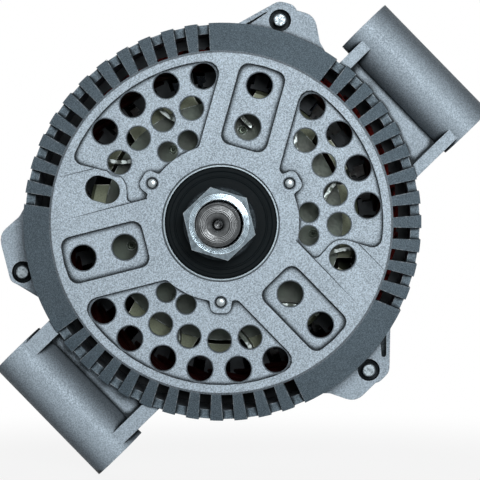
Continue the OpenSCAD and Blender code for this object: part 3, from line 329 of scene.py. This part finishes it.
def matt(name, base, roughness, grainMm=0.5, pitMm=0.04, spread=0.25, metallic=0.0, edgeMm=0.3,
         specular=0.35, edge=None):
    # Moulded, painted or rubber surfaces; edge is the colour they are rubbed to
    material, shader = startMaterial(name, base, metallic, roughness)
    shader.inputs["Specular IOR Level"].default_value = specular
    place = objectPlace(material)
    spots = grain(material, place, grainMm, 3)
    clouds = grain(material, place, 20 * grainMm, 2)
    share = times(material, calc(material, "ADD", spots, clouds), 0.5)
    mixed = blendColours(material, ease(material, share, 0.35, 0.65), toned(base, 1 - spread),
                         toned(base, 1 + spread))
    if edge:
        rubbed = times(material, onEdges(material, 0.45), ease(material, clouds, 0.35, 0.6, 0.35, 1))
        mixed = blendColours(material, rubbed, mixed, colour(edge))
        link(material, ease(material, rubbed, 0, 1, metallic, 0.9), shader.inputs["Metallic"])
    link(material, mixed, shader.inputs["Base Color"])
    link(material, ease(material, spots, 0.3, 0.7, roughness - 0.06, roughness + 0.08),
         shader.inputs["Roughness"])
    addBump(material, shader, spots, pitMm, softEdges(material, edgeMm))
    return material


# dark: tone of the darker drops, and of the painted shade inside the case
enamelLook = {"dropMm": 4, "dropDeepMm": 0.1, "fadeMm": 2.5, "dark": 0.08, "coat": 0.6, "coatRoughness": 0.15}


def enamel(name, base, shadeInsideMm=0.0):
    # Varnished copper wire with darker drops; nearer the shaft than the given radius it is painted dark, a
    # painted shade for the inside of the case
    material, shader = startMaterial(name, base, 0.55, 0.3)
    place = objectPlace(material)
    drops = grain(material, place, enamelLook["dropMm"], 3)
    share = ease(material, drops, 0.4, 0.65)
    if shadeInsideMm:
        shadedInside = fadeOut(material, shaftRadius(material, place),
                        (shadeInsideMm - enamelLook["fadeMm"], shadeInsideMm))
        share = calc(material, "MAXIMUM", share, shadedInside)
    link(material, blendColours(material, share, colour(base), toned(base, enamelLook["dark"])),
         shader.inputs["Base Color"])
    shader.inputs["Coat Weight"].default_value = enamelLook["coat"]
    shader.inputs["Coat Roughness"].default_value = enamelLook["coatRoughness"]
    addBump(material, shader, drops, enamelLook["dropDeepMm"])
    return material


sheetLook = {"sheetMm": 0.7, "grooveMm": 0.04, "stainMm": 9}


def laminatedSteel(name, base, outside, outsideMm):
    # Varnished dark inside the case, which also serves as painted shade there; bare steel where it shows
    # between the housings
    material, shader = startMaterial(name, base, 0.8, 0.45)
    place = objectPlace(material)
    sheets = ripple(material, depthBehindFace(material, place), sheetLook["sheetMm"])
    stain = grain(material, place, sheetLook["stainMm"], 4)
    bare = fadeIn(material, shaftRadius(material, place), (outsideMm - 1, outsideMm))
    steel = blendColours(material, bare, colour(base), colour(outside))
    tone = calc(material, "ADD", ease(material, stain, 0.35, 0.7, 1, 0.8),
                ease(material, sheets, -1, 1, -0.14, 0.06))
    link(material, toneBy(material, steel, tone), shader.inputs["Base Color"])
    link(material, ease(material, stain, 0.3, 0.7, 0.42, 0.6), shader.inputs["Roughness"])
    addBump(material, shader, sheets, sheetLook["grooveMm"])
    return material


fanLook = {
    "plate": "37433a",
    "cutEdge": "949d9d",
    "metallic": 0.35,
    "frontTipMm": (17.0, 17.5),    # depths over which the blades' outer edges are rubbed
    "rearTipMm": (94.5, 95.0),
    "cloudMm": 9,
    "rubMm": 2.5,
}


def fanPaint(name):
    # Olive wash over pressed steel, rubbed bright on the blades' outer edges
    look = fanLook
    material, shader = startMaterial(name, look["plate"], look["metallic"], 0.36)
    place = objectPlace(material)
    depth = depthBehindFace(material, place)
    tips = calc(material, "MAXIMUM", fadeOut(material, depth, look["frontTipMm"]),
                fadeIn(material, depth, look["rearTipMm"]))
    clouds = grain(material, place, look["cloudMm"], 3)
    bare = times(material, calc(material, "MAXIMUM", tips, onEdges(material, 0.5)),
                 ease(material, grain(material, place, look["rubMm"], 3), 0.46, 0.6))
    spots = grain(material, place, 0.7, 3)
    mixed = blendColours(material, ease(material, clouds, 0.35, 0.65), toned(look["plate"], 0.5),
                         colour(look["plate"]))
    mixed = blendColours(material, bare, mixed, colour(look["cutEdge"]))
    # Painted shade: corners darkened
    corners = inCorners(material, 2.5, 0.35, 0.85)
    link(material, blendColours(material, corners, mixed, colour(cornerShade["fan"])),
         shader.inputs["Base Color"])
    link(material, ease(material, bare, 0, 1, look["metallic"], 1), shader.inputs["Metallic"])
    link(material, ease(material, spots, 0.3, 0.7, 0.32, 0.44), shader.inputs["Roughness"])
    addBump(material, shader, spots, 0.03, softEdges(material, 0.25))
    return material


finishes = {
    "face cast": castAluminium("castAluminiumFace", True),
    "rear cast": castAluminium("castAluminiumRear", False),
    "bright steel": plainMetal("brightSteel", "b4bbbf", 0.28),
    "bolt steel": plainMetal("boltSteel", "838d93", 0.42, 0.9, 0.05, 0.16),
    "ring steel": plainMetal("ringSteel", "727c82", 0.38, 0.8, 0.01, 0.06, 0.1, 0.7),
    # The zinc's outer edges get a painted highlight, eef3f5
    "zinc": turnedMetal("zincPlate", "93a3ad", 0.2, 0.5, 0.012, 0.15, 0.4, 1.0, "eef3f5"),
    # Painted shade: the washer is dark, standing in for the dark surroundings a bright washer would reflect
    "washer shaded steel": plainMetal("washerShadedSteel", "24292c", 0.5, 0.8, 0.02, 0.1),
    "turned": turnedMetal("turnedSteel", "686b6d", 0.3, 0.6, 0.02, 0.15, 0.6),
    "fan": fanPaint("fanPaint"),
    "weld": matt("fanWeld", "4c564d", 0.3, 0.6, 0.02, 0.2, 0.6, 0.1),
    "screw end": plainMetal("screwEnd", "98a1a5", 0.3, 0.7, 0.03, 0.12),
    "olive": matt("rotorPaint", "666d5a", 0.42, 0.6, 0.05, 0.22, 0.3, 0.3, 0.35, "c4c8c2"),
    "laminations": laminatedSteel("laminatedSteel", "272b2e", "7b8185", 72),
    # Painted shade: the wire is dark nearer the shaft than 64 mm
    "wire": enamel("enamelledWire", "963430", 64.0),
    "field wire": enamel("fieldWire", "8a4322"),
    "rubber": matt("blackRubber", "0b1215", 0.6, 0.4, 0.02, 0.15, 0.0, 0.3, 0.08),
    "cage": plainMetal("brassCage", "b08d4f", 0.35),
    "slip copper": turnedMetal("slipCopper", "c98a5e", 0.25, 0.25, 0.006),
    "black": matt("blackMoulding", "1c1d1f", 0.48, 0.35, 0.03),
    "nylon": matt("bobbinNylon", "37372f", 0.5),
    "carbon": matt("carbonBrush", "2a2a2b", 0.42, 0.25, 0.02),
    "heat sink": plainMetal("heatSink", "b4b8ba", 0.38),
    "diode": plainMetal("diodeCase", "83888d", 0.4),
    "red": matt("redMoulding", "8e1f18", 0.42, 0.4, 0.02),
    "yellow zinc": plainMetal("yellowZinc", "b3a47c", 0.32),
}

# The finish of each of the part's materials, and of the nodes that differ from it
slotFinish = {
    "cast_aluminium": "rear cast", "bright_steel": "bright steel", "zinc_plate": "zinc",
    "turned_steel": "turned", "rotor_iron": "olive", "laminations": "laminations",
    "enamelled_wire": "wire", "field_wire": "field wire", "black_rubber": "rubber",
    "cage_brass": "cage", "slip_copper": "slip copper", "black_moulding": "black",
    "bobbin_nylon": "nylon", "carbon": "carbon", "heat_sink": "heat sink", "diode_case": "diode",
    "red_moulding": "red", "yellow_zinc": "yellow zinc",
}
nodeFinish = {
    # the washer is painted dark, a painted shade
    "drive_end_housing": "face cast", "through_bolts": "bolt steel", "nut_washer": "washer shaded steel",
    "front_fan": "fan", "rear_fan": "fan",
}

for name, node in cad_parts.items():
    finish = nodeFinish.get(name)
    for place in node.material_slots:
        place.material = finishes[finish or slotFinish[place.material.name]]
print("materials:", len(finishes))


# Modelling helpers: each leaves one piece selected, with its place in its mesh
mergeM = 2e-6      # points nearer than this are one


def selectOnly(piece):
    bpy.ops.object.select_all(action="DESELECT")
    piece.select_set(True)
    bpy.context.view_layer.objects.active = piece


def editAll(piece):
    selectOnly(piece)
    bpy.ops.object.mode_set(mode="EDIT")
    bpy.ops.mesh.select_all(action="SELECT")


def closeEdit(piece, smoothAngle=35):
    bpy.ops.mesh.select_all(action="SELECT")
    bpy.ops.mesh.remove_doubles(threshold=mergeM)
    bpy.ops.mesh.normals_make_consistent(inside=False)
    bpy.ops.object.mode_set(mode="OBJECT")
    bpy.ops.object.shade_smooth_by_angle(angle=math.radians(smoothAngle))


def lathe(name, section, steps=96):
    # A closed section of (radius, depth) in mm, or an open one that starts and ends on the axis
    bpy.ops.object.select_all(action="DESELECT")
    bpy.ops.mesh.primitive_circle_add(vertices=len(section), radius=0.01)
    piece = bpy.context.active_object
    piece.name = name
    for corner, (radius, depth) in zip(piece.data.vertices, section):
        corner.co = (radius * mm, depth * mm, 0)
    editAll(piece)
    bpy.ops.mesh.select_mode(type="EDGE")
    bpy.ops.mesh.select_all(action="DESELECT")
    bpy.ops.object.mode_set(mode="OBJECT")
    for edge in piece.data.edges:
        edge.select = all(abs(piece.data.vertices[v].co.x) < 1e-9 for v in edge.vertices)
    bpy.ops.object.mode_set(mode="EDIT")
    bpy.ops.mesh.delete(type="EDGE")
    bpy.ops.mesh.select_mode(type="VERT")
    bpy.ops.mesh.select_all(action="SELECT")
    bpy.ops.mesh.spin(steps=steps, angle=2 * math.pi, center=(0, 0, 0), axis=(0, 1, 0))
    closeEdit(piece)
    return piece


def shiftMm(piece, x, depth, z):
    editAll(piece)
    bpy.ops.transform.translate(value=(x * mm, depth * mm, z * mm))
    bpy.ops.object.mode_set(mode="OBJECT")


def repeatRound(piece, count):
    # Copies round the shaft axis, all in one mesh
    editAll(piece)
    bpy.ops.mesh.spin(steps=count - 1, dupli=True, angle=2 * math.pi * (count - 1) / count,
                      center=(0, 0, 0), axis=(0, 1, 0))
    bpy.ops.object.mode_set(mode="OBJECT")


def joinPieces(name, pieces):
    selectOnly(pieces[0])
    for piece in pieces[1:]:
        piece.select_set(True)
    bpy.ops.object.join()
    pieces[0].name = name
    return pieces[0]


def sweepTurns(outline, axis, pitchMm, turns, steps, smoothAngle):
    # A closed outline swept round an axis as a helix, with both ends filled
    corners = len(outline.data.vertices)
    helix = outline.modifiers.new("turns", "SCREW")
    helix.axis = axis
    helix.steps = helix.render_steps = steps
    helix.screw_offset = pitchMm * mm
    helix.iterations = turns
    helix.use_merge_vertices = False
    bpy.ops.object.modifier_apply(modifier="turns")
    editAll(outline)
    bpy.ops.mesh.remove_doubles(threshold=mergeM)
    bpy.ops.mesh.fill_holes(sides=corners)
    closeEdit(outline, smoothAngle)


def combine(piece, tool, operation, smoothAngle):
    # INTERSECT keeps what the piece shares with the tool, DIFFERENCE takes it out; the tool is used up
    selectOnly(piece)
    cut = piece.modifiers.new("cut", "BOOLEAN")
    cut.operation = operation
    cut.solver = "EXACT"
    cut.object = tool
    bpy.ops.object.modifier_apply(modifier="cut")
    bpy.data.objects.remove(tool)
    editAll(piece)
    closeEdit(piece, smoothAngle)


# Depth and root flat in pitches, past in mm
threadForm = {"depth": 0.54, "rootFlat": 1 / 8, "flank": 30, "past": 0.1, "steps": 40}


def cutThread(piece, thread):
    # A V groove swept as a helix round the shaft axis is taken out of the piece
    form = threadForm
    rootR = thread["majorR"] - form["depth"] * thread["pitch"]
    outR = thread["majorR"] + form["past"]
    rootW = thread["pitch"] * form["rootFlat"]
    outW = rootW + (outR - rootR) * math.tan(math.radians(form["flank"]))
    bpy.ops.object.select_all(action="DESELECT")
    bpy.ops.mesh.primitive_circle_add(vertices=4, radius=0.01)
    cutter = bpy.context.active_object
    corners = [(rootR, -rootW), (outR, -outW), (outR, outW), (rootR, rootW)]
    for corner, (radius, along) in zip(cutter.data.vertices, corners):
        corner.co = (radius * mm, (thread["from"] + along) * mm, 0)
    turns = round((thread["to"] - thread["from"]) / thread["pitch"])
    sweepTurns(cutter, "Y", thread["pitch"], turns, form["steps"], 35)
    combine(piece, cutter, "DIFFERENCE", 30)


def bendWire(name, route, radiusMm):
    # A round wire along points (x, depth, z) in mm, closed at both ends
    data = bpy.data.curves.new(name, "CURVE")
    data.dimensions = "3D"
    data.bevel_depth = radiusMm * mm
    data.bevel_resolution = 1
    data.use_fill_caps = True
    spline = data.splines.new("POLY")
    spline.points.add(len(route) - 1)
    for point, (x, depth, z) in zip(spline.points, route):
        point.co = (x * mm, depth * mm, z * mm, 1)
    wire = bpy.data.objects.new(name, data)
    bpy.context.scene.collection.objects.link(wire)
    selectOnly(wire)
    bpy.ops.object.convert(target="MESH")
    wire = bpy.context.active_object
    editAll(wire)
    closeEdit(wire)
    return wire


def onBody(piece, body, slot, finish, *nodes):
    # The piece moves with the body and is shown in place of the nodes
    piece.data.materials.clear()
    piece.data.materials.append(finishes[finish])
    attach(piece, body)
    if nodes:
        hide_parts(*nodes)


def onCircle(radius, angle):
    # Place on a circle round the shaft, as (x, z)
    return radius * math.cos(math.radians(angle)), radius * math.sin(math.radians(angle))


shaft = {
    "noseDepth": -31, "threadTo": -5, "threadR": 8, "seatR": 8.5, "shoulderR": 11, "coreR": 10, "tailR": 7.5,
    "bearingBack": 15.8, "poleFront": 28, "poleBack": 84, "tailEnd": 115, "pitch": 1.5,
    "centreR": 2.1, "centreMouthR": 3.7, "centreDepth": -22, "centreTip": 1.2,
    "undercut": 0.9,           # groove behind the thread
    "break": 0.3,              # broken edges
}


def makeShaft():
    s = shaft
    nose = s["noseDepth"]
    undercutR = s["threadR"] - s["undercut"]
    piece = lathe("rotorShaftThreaded", [
        (0, s["centreDepth"] + s["centreTip"]), (s["centreR"], s["centreDepth"]), (s["centreR"], nose + 1.8),
        (s["centreMouthR"], nose + s["break"]), (s["centreMouthR"] + 0.6, nose), (s["threadR"] - 1.25, nose),
        (s["threadR"] - 0.85, nose + 0.2), (s["threadR"], nose + 1.3), (s["threadR"], s["threadTo"] - 1.2),
        (undercutR, s["threadTo"] - s["undercut"]), (undercutR, s["threadTo"]),
        (s["seatR"] - s["break"], s["threadTo"]), (s["seatR"], s["threadTo"] + s["break"]),
        (s["seatR"], s["bearingBack"]), (s["shoulderR"], s["bearingBack"]), (s["shoulderR"], s["poleFront"]),
        (s["coreR"], s["poleFront"]), (s["coreR"], s["poleBack"]), (s["tailR"], s["poleBack"]),
        (s["tailR"], s["tailEnd"] - 0.5), (s["tailR"] - 0.5, s["tailEnd"]), (0, s["tailEnd"])])
    cutThread(piece, {"majorR": s["threadR"], "pitch": s["pitch"], "from": nose - s["pitch"],
                      "to": s["threadTo"] - s["pitch"]})
    onBody(piece, "rotor", "turned_steel", "turned", "rotor_shaft")


windingHeads = {
    "arches": 36, "span": 30.0,            # coils round the core, and degrees from slot to slot
    "wireR": 0.78, "wires": 6, "pitchMm": 1.62,
    "lowR": 58.2, "rise": 6.6, "points": 15,
    "bulge": 0.55,                         # below 1 the arch rises steeply and is flat on top
    "layerGap": 1.06, "crossing": 0.9,     # layers' distance in pitches, and degrees by which they cross
    "heads": {"front": (39.5, 26.9), "rear": (72.5, 85.1)},   # depth at the core and at the crown
}


def makeWindingHead(side):
    w = windingHeads
    foot, crown = w["heads"][side]
    outward = 1 if foot < crown else -1
    wires = []
    for k in range(w["wires"]):
        layer, row = divmod(k, 2)
        route = []
        for i in range(w["points"]):
            t = i / (w["points"] - 1)
            lift = math.sin(math.pi * t) ** w["bulge"]
            radius = w["lowR"] + row * w["pitchMm"] + w["rise"] * (0.5 - 0.5 * math.cos(math.pi * t))
            top = crown - outward * w["wireR"] - foot - outward * layer * w["pitchMm"] * w["layerGap"]
            depth = foot + top * lift
            crossing = (layer - 1) * w["crossing"] * (1 - 2 * t)
            x, z = onCircle(radius, w["span"] * (t - 0.5) + crossing)
            route.append((x, depth, z))
        wires.append(bendWire("wire", route, w["wireR"]))
    head = joinPieces("windingHead" + side.capitalize(), wires)
    repeatRound(head, w["arches"])
    onBody(head, "housing", "enamelled_wire", "wire", "stator_winding")


bearingRing = {
    "outR": 23.5, "landR": 19.35, "seatR": 20.602, "front": 1.8, "back": 15.8, "step": 1.2,
    "grooveFromR": 21.5, "grooveToR": 22.02, "grooveDeep": 0.65,   # turned groove in the front face
    "pitchR": 16.0, "raceR": 4.41, "racePoints": 13,
    "break": 0.3, "lead": (0.35, 0.6),        # broken edges, and the lead into the seal's seat
}


def makeBearingRing():
    b = bearingRing
    middle = (b["front"] + b["back"]) / 2
    half = math.sqrt(b["raceR"] ** 2 - (b["landR"] - b["pitchR"]) ** 2)
    spread = math.asin(half / b["raceR"])
    race = []
    for i in range(b["racePoints"]):
        turn = spread * (1 - 2 * i / (b["racePoints"] - 1))
        race.append((b["pitchR"] + b["raceR"] * math.cos(turn), middle + b["raceR"] * math.sin(turn)))
    leadR = b["seatR"] + b["lead"][0]
    groove = b["front"] + b["grooveDeep"]
    ring = lathe("frontBearingRingTurned", [
        (b["seatR"], b["front"] + b["step"]), (b["seatR"], b["front"] + b["lead"][1]), (leadR, b["front"]),
        (b["grooveFromR"], b["front"]), (b["grooveFromR"] + 0.05, groove),
        (b["grooveToR"] - 0.05, groove), (b["grooveToR"], b["front"]),
        (b["outR"] - b["break"], b["front"]), (b["outR"], b["front"] + b["break"]),
        (b["outR"], b["back"] - b["break"]), (b["outR"] - b["break"], b["back"]),
        (leadR, b["back"]), (b["seatR"], b["back"] - b["lead"][1]),
        (b["seatR"], b["back"] - b["step"]), (b["landR"], b["back"] - b["step"])] + race +
        [(b["landR"], b["front"] + b["step"])], 128)
    onBody(ring, "housing", "bright_steel", "ring steel", "front_bearing_outer_ring")


fanWelds = {
    # place on the fan's plate as (radius, angle)
    "places": [(34.7, 352.4), (34.2, 36), (35.6, 78), (33.4, 124.6), (36.2, 194.7), (34.5, 238), (34.5, 296)],
    "plateDepth": 26.5, "domeR": 0.62, "domeH": 0.5, "rimR": 1.5, "sunk": 0.05,
}


def makeFanWelds():
    # Small pressed domes on the front fan's plate, each inside a low ring
    w = fanWelds
    face = w["plateDepth"]
    domes = []
    for radius, angle in w["places"]:
        dome = lathe("weld", [
            (0, face - w["domeH"]), (w["domeR"] * 0.6, face - w["domeH"] * 0.8),
            (w["domeR"], face - w["domeH"] * 0.3), (w["domeR"] + 0.1, face - 0.04),
            (w["rimR"] - 0.3, face - 0.04), (w["rimR"] - 0.12, face - 0.16),
            (w["rimR"] + 0.12, face - 0.14), (w["rimR"] + 0.3, face + w["sunk"]), (0, face + w["sunk"])], 28)
        x, z = onCircle(radius, angle)
        shiftMm(dome, x, 0, z)
        domes.append(dome)
    onBody(joinPieces("fanWeldDomes", domes), "rotor", "rotor_iron", "weld")


nut = {
    "flats": 24, "front": -17.1, "back": -6.6, "boreR": 8.02, "mouthR": 8.7, "mouthDeep": 1.3,
    "lipR": 9.2, "crownR": 11.2, "crownBack": 0.62, "slope": 30, "turn": 43.5,
}


def makeNut():
    # A hexagon cut by a cone, with a turned lip and countersink round the thread
    n = nut
    corner = n["flats"] / 2 / math.cos(math.radians(30))
    past = corner + 2
    coneFall = (past - n["crownR"]) * math.tan(math.radians(n["slope"]))
    crown = lathe("pulleyNutCrowned", [
        (n["boreR"], n["back"]), (n["boreR"], n["front"] + n["mouthDeep"]), (n["mouthR"], n["front"] + 0.25),
        (n["mouthR"] + 0.12, n["front"]), (n["lipR"], n["front"]), (n["lipR"] + 0.15, n["front"] + 0.2),
        (n["crownR"], n["front"] + 0.3), (n["crownR"] + 0.12, n["front"] + n["crownBack"]),
        (past, n["front"] + n["crownBack"] + coneFall), (past, n["back"])], 120)
    overlap = 0.02
    middle = (n["front"] + n["back"] + overlap) / 2
    bpy.ops.object.select_all(action="DESELECT")
    bpy.ops.mesh.primitive_cylinder_add(vertices=6, radius=corner * mm,
                                        depth=(n["back"] - n["front"] + overlap) * mm)
    prism = bpy.context.active_object
    editAll(prism)
    bpy.ops.transform.rotate(value=math.radians(90), orient_axis="X", center_override=(0, 0, 0))
    bpy.ops.transform.translate(value=(0, middle * mm, 0))
    bpy.ops.object.mode_set(mode="OBJECT")
    # The prism's first corner goes to the angle the nut was tightened to
    first = prism.data.vertices[0].co
    here = math.degrees(math.atan2(first.z, first.x))
    editAll(prism)
    bpy.ops.transform.rotate(value=math.radians(n["turn"] - here), orient_axis="Y", center_override=(0, 0, 0))
    bpy.ops.object.mode_set(mode="OBJECT")
    combine(crown, prism, "INTERSECT", 20)
    onBody(crown, "rotor", "zinc_plate", "zinc", "pulley_nut")


seal = {
    "lipR": 12.95, "rimR": 20.58, "lipStep": 0.1,
    "sides": {"near": (2.1, 3.0), "far": (15.5, 14.6)},     # depth of each seal's outer and inner side
    # Ribs as (distance, depth): in from the rim, and then out from the lip
    "rimRibs": [(0, 0.12), (0.5, 0), (1.3, 0.05), (1.6, 0.35), (3.0, 0.38), (3.2, 0.12), (3.6, 0.12),
                (3.8, 0.36)],
    "lipRibs": [(1.4, 0.3), (0.9, 0.05), (0.3, 0.1), (0, 0.4)],
}


def makeSeals():
    # Front seal with its moulded ribs; the one behind it is the same, turned over
    s = seal
    rings = []
    for name, (front, back) in s["sides"].items():
        inward = 1 if back > front else -1
        section = [(s["rimR"] - along, front + deep * inward) for along, deep in s["rimRibs"]]
        section += [(s["lipR"] + along, front + deep * inward) for along, deep in s["lipRibs"]]
        rings.append(lathe(name, section + [(s["lipR"] + s["lipStep"], back), (s["rimR"], back)]))
    both = joinPieces("frontSealRibbed", rings)
    onBody(both, "housing", "black_rubber", "rubber", "front_bearing_seals")


# The stud stands on the rear housing, at this angle on its circle
stud = {"r": 4, "from": 99.6, "end": 136.5, "angle": 214, "circle": 52, "pitch": 1.25, "threadFrom": 117}


def makeStud():
    s = stud
    piece = lathe("batteryStudThreaded", [
        (0, s["end"]), (s["r"] - 1.1, s["end"]), (s["r"] - 0.9, s["end"] - 0.1), (s["r"], s["end"] - 1.1),
        (s["r"], s["from"] + 0.2), (s["r"] - 0.2, s["from"]), (0, s["from"])], 64)
    cutThread(piece, {"majorR": s["r"], "pitch": s["pitch"], "from": s["threadFrom"],
                      "to": s["end"] + s["pitch"]})
    x, z = onCircle(s["circle"], s["angle"])
    shiftMm(piece, x, 0, z)
    onBody(piece, "housing", "yellow_zinc", "yellow zinc", "battery_stud")


brushSpring = {"wireR": 0.3, "coilR": 1.5, "turns": 6, "travel": 4.0, "sides": 8, "steps": 20}


def makeBrushSpring(side):
    # A coil between the brush and the end of its guide
    s = brushSpring
    node = "brush_spring_" + side
    low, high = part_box(node)
    length = (high.z - low.z) / mm
    rise = (length - 2 * s["wireR"]) / s["turns"]
    bpy.ops.object.select_all(action="DESELECT")
    bpy.ops.mesh.primitive_circle_add(vertices=s["sides"], radius=s["wireR"] * mm)
    piece = bpy.context.active_object
    piece.name = "brushSpringCoil" + side.capitalize()
    for corner in piece.data.vertices:
        corner.co = (corner.co.x + s["coilR"] * mm, 0, corner.co.y)
    sweepTurns(piece, "Z", rise, s["turns"], s["steps"], 50)
    middle = (low + high) / 2
    shiftMm(piece, middle.x / mm, middle.y / mm, low.z / mm + s["wireR"])
    onBody(piece, "housing", "yellow_zinc", "yellow zinc", node)
    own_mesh(piece)


retainerScrew = {
    "r": 2, "tip": 0.1, "under": 17.8, "headR": 3.6, "headH": 2.4, "socketR": 1.6, "socketDeep": 1.4,
    "circle": 29.5, "firstAngle": 30, "count": 3,
}


def makeRetainerScrews():
    # Domed ends show in the face; the heads behind the retainer plate are hollowed
    s = retainerScrew
    head = s["under"] + s["headH"]
    piece = lathe("retainerScrewsDomed", [
        (0, s["tip"]), (s["r"] * 0.45, s["tip"] + 0.06), (s["r"] * 0.72, s["tip"] + 0.2),
        (s["r"] * 0.9, s["tip"] + 0.5), (s["r"] * 0.93, s["tip"] + 1.2), (s["r"], s["tip"] + 1.4),
        (s["r"], s["under"]), (s["headR"], s["under"]), (s["headR"], head - 0.8),
        (s["headR"] - 0.5, head - 0.15), (s["headR"] - 1.1, head), (s["socketR"], head),
        (s["socketR"] - 0.15, head - s["socketDeep"] + 0.1), (0, head - s["socketDeep"])], 40)
    x, z = onCircle(s["circle"], s["firstAngle"])
    shiftMm(piece, x, 0, z)
    repeatRound(piece, s["count"])
    onBody(piece, "housing", "bright_steel", "screw end", "retainer_screws")


makeShaft()
makeBearingRing()
makeSeals()
makeFanWelds()
makeNut()
makeStud()
makeRetainerScrews()
for side in windingHeads["heads"]:
    makeWindingHead(side)
    makeBrushSpring(side)
print("shaft, bearing ring, seals, welds, nut, stud, screws, winding heads and brush springs made")

# Camera at the photograph's angle, floor and soft light
view = {
    "azimuth": 1.67,
    "elevation": 1.75,
    "distance": 1.0,
    "aim": (0.00718, 0.0, -0.00632),   # where the picture's middle meets the face
    "width": 0.1784,                   # of the view at the face
    "sensorMm": 36.0,
    "clip": (0.01, 50),
}


def standOff(item, target, azimuth, elevation, away):
    # A camera or lamp goes to its angle and distance and looks back at the target
    a = math.radians(azimuth)
    e = math.radians(elevation)
    direction = Vector((math.sin(a) * math.cos(e), -math.cos(a) * math.cos(e), math.sin(e)))
    bpy.context.scene.collection.objects.link(item)
    item.location = Vector(target) + direction * away
    item.rotation_euler = (-direction).to_track_quat("-Z", "Y").to_euler()


def makeCamera():
    data = bpy.data.cameras.new("camera")
    camera = bpy.data.objects.new("camera", data)
    standOff(camera, view["aim"], view["azimuth"], view["elevation"], view["distance"])
    data.sensor_width = view["sensorMm"]
    data.lens = view["sensorMm"] * view["distance"] / view["width"]
    data.clip_start, data.clip_end = view["clip"]
    bpy.context.scene.camera = camera


def seenByCamera(tree):
    # 1 for what the camera sees, also in a mirror or through glass
    rays = put(tree, "ShaderNodeLightPath")
    seen = calc(tree, "MAXIMUM", rays.outputs["Is Camera Ray"], rays.outputs["Is Glossy Ray"])
    return calc(tree, "MAXIMUM", seen, rays.outputs["Is Transmission Ray"])


floorLook = {
    "colour": "bcbdbe", "size": 30, "gap": 0.0002,
    "white": (0.12, 0.3),      # distance from the object over which the floor turns as white as the backdrop
    "nearShare": 0.88,         # how white it is seen beside the object, where the shadow lies
}


def makeFloor():
    f = floorLook
    bpy.ops.object.select_all(action="DESELECT")
    bpy.ops.mesh.primitive_plane_add(size=f["size"], location=(0, 0, cadBox[0].z - f["gap"]))
    floor = bpy.context.active_object
    floor.name = "floor"
    material, shader = startMaterial("floorWhite", f["colour"], 0, 0.9)
    shader.inputs["Specular IOR Level"].default_value = 0
    glow = put(material, "ShaderNodeEmission", {"Color": (1, 1, 1, 1), "Strength": 1.0})
    seen = seenByCamera(material)
    whiter = ease(material, distance(material, objectPlace(material)), *f["white"], f["nearShare"], 1)
    mixer = put(material, "ShaderNodeMixShader", {0: times(material, seen, whiter),
                1: shader.outputs["BSDF"], 2: glow.outputs["Emission"]})
    output = material.node_tree.nodes["Material Output"]
    link(material, mixer.outputs["Shader"], output.inputs["Surface"])
    floor.data.materials.append(material)


studio = {"ambient": 0.07, "tint": (0.92, 0.96, 1, 1)}


def makeWorld():
    # The object is lit by a faint sky, and the camera sees plain white
    world = bpy.data.worlds.new("studio")
    bpy.context.scene.world = world
    world.use_nodes = True
    nodes = world.node_tree.nodes
    sky = nodes["Background"]
    sky.inputs["Color"].default_value = studio["tint"]
    sky.inputs["Strength"].default_value = studio["ambient"]
    white = put(world, "ShaderNodeBackground", {"Color": (1, 1, 1, 1), "Strength": 1.0})
    mixer = put(world, "ShaderNodeMixShader", {0: seenByCamera(world), 1: sky.outputs["Background"],
                2: white.outputs["Background"]})
    link(world, mixer.outputs["Shader"], nodes["World Output"].inputs["Surface"])


lamps = {
    # name: azimuth, elevation, distance, size, power in watts
    "keyLamp": (9, 11, 1.2, 0.35, 8.8),
    "frontLamp": (12, 24, 1.4, 0.5, 1.2),
    "rightGlint": (62, 9, 1.2, 0.12, 0.4),
    "backLamp": (189, 9, 1.2, 0.7, 11),
}
lampTarget = (0, 0.03, 0)


def makeLamps():
    for name, (azimuth, elevation, away, size, power) in lamps.items():
        data = bpy.data.lights.new(name, "AREA")
        data.shape = "DISK"
        data.size = size
        data.energy = power
        standOff(bpy.data.objects.new(name, data), lampTarget, azimuth, elevation, away)


makeCamera()
makeFloor()
makeWorld()
makeLamps()
bpy.context.scene.view_settings.view_transform = "Standard"
print("camera, floor and lamps placed")
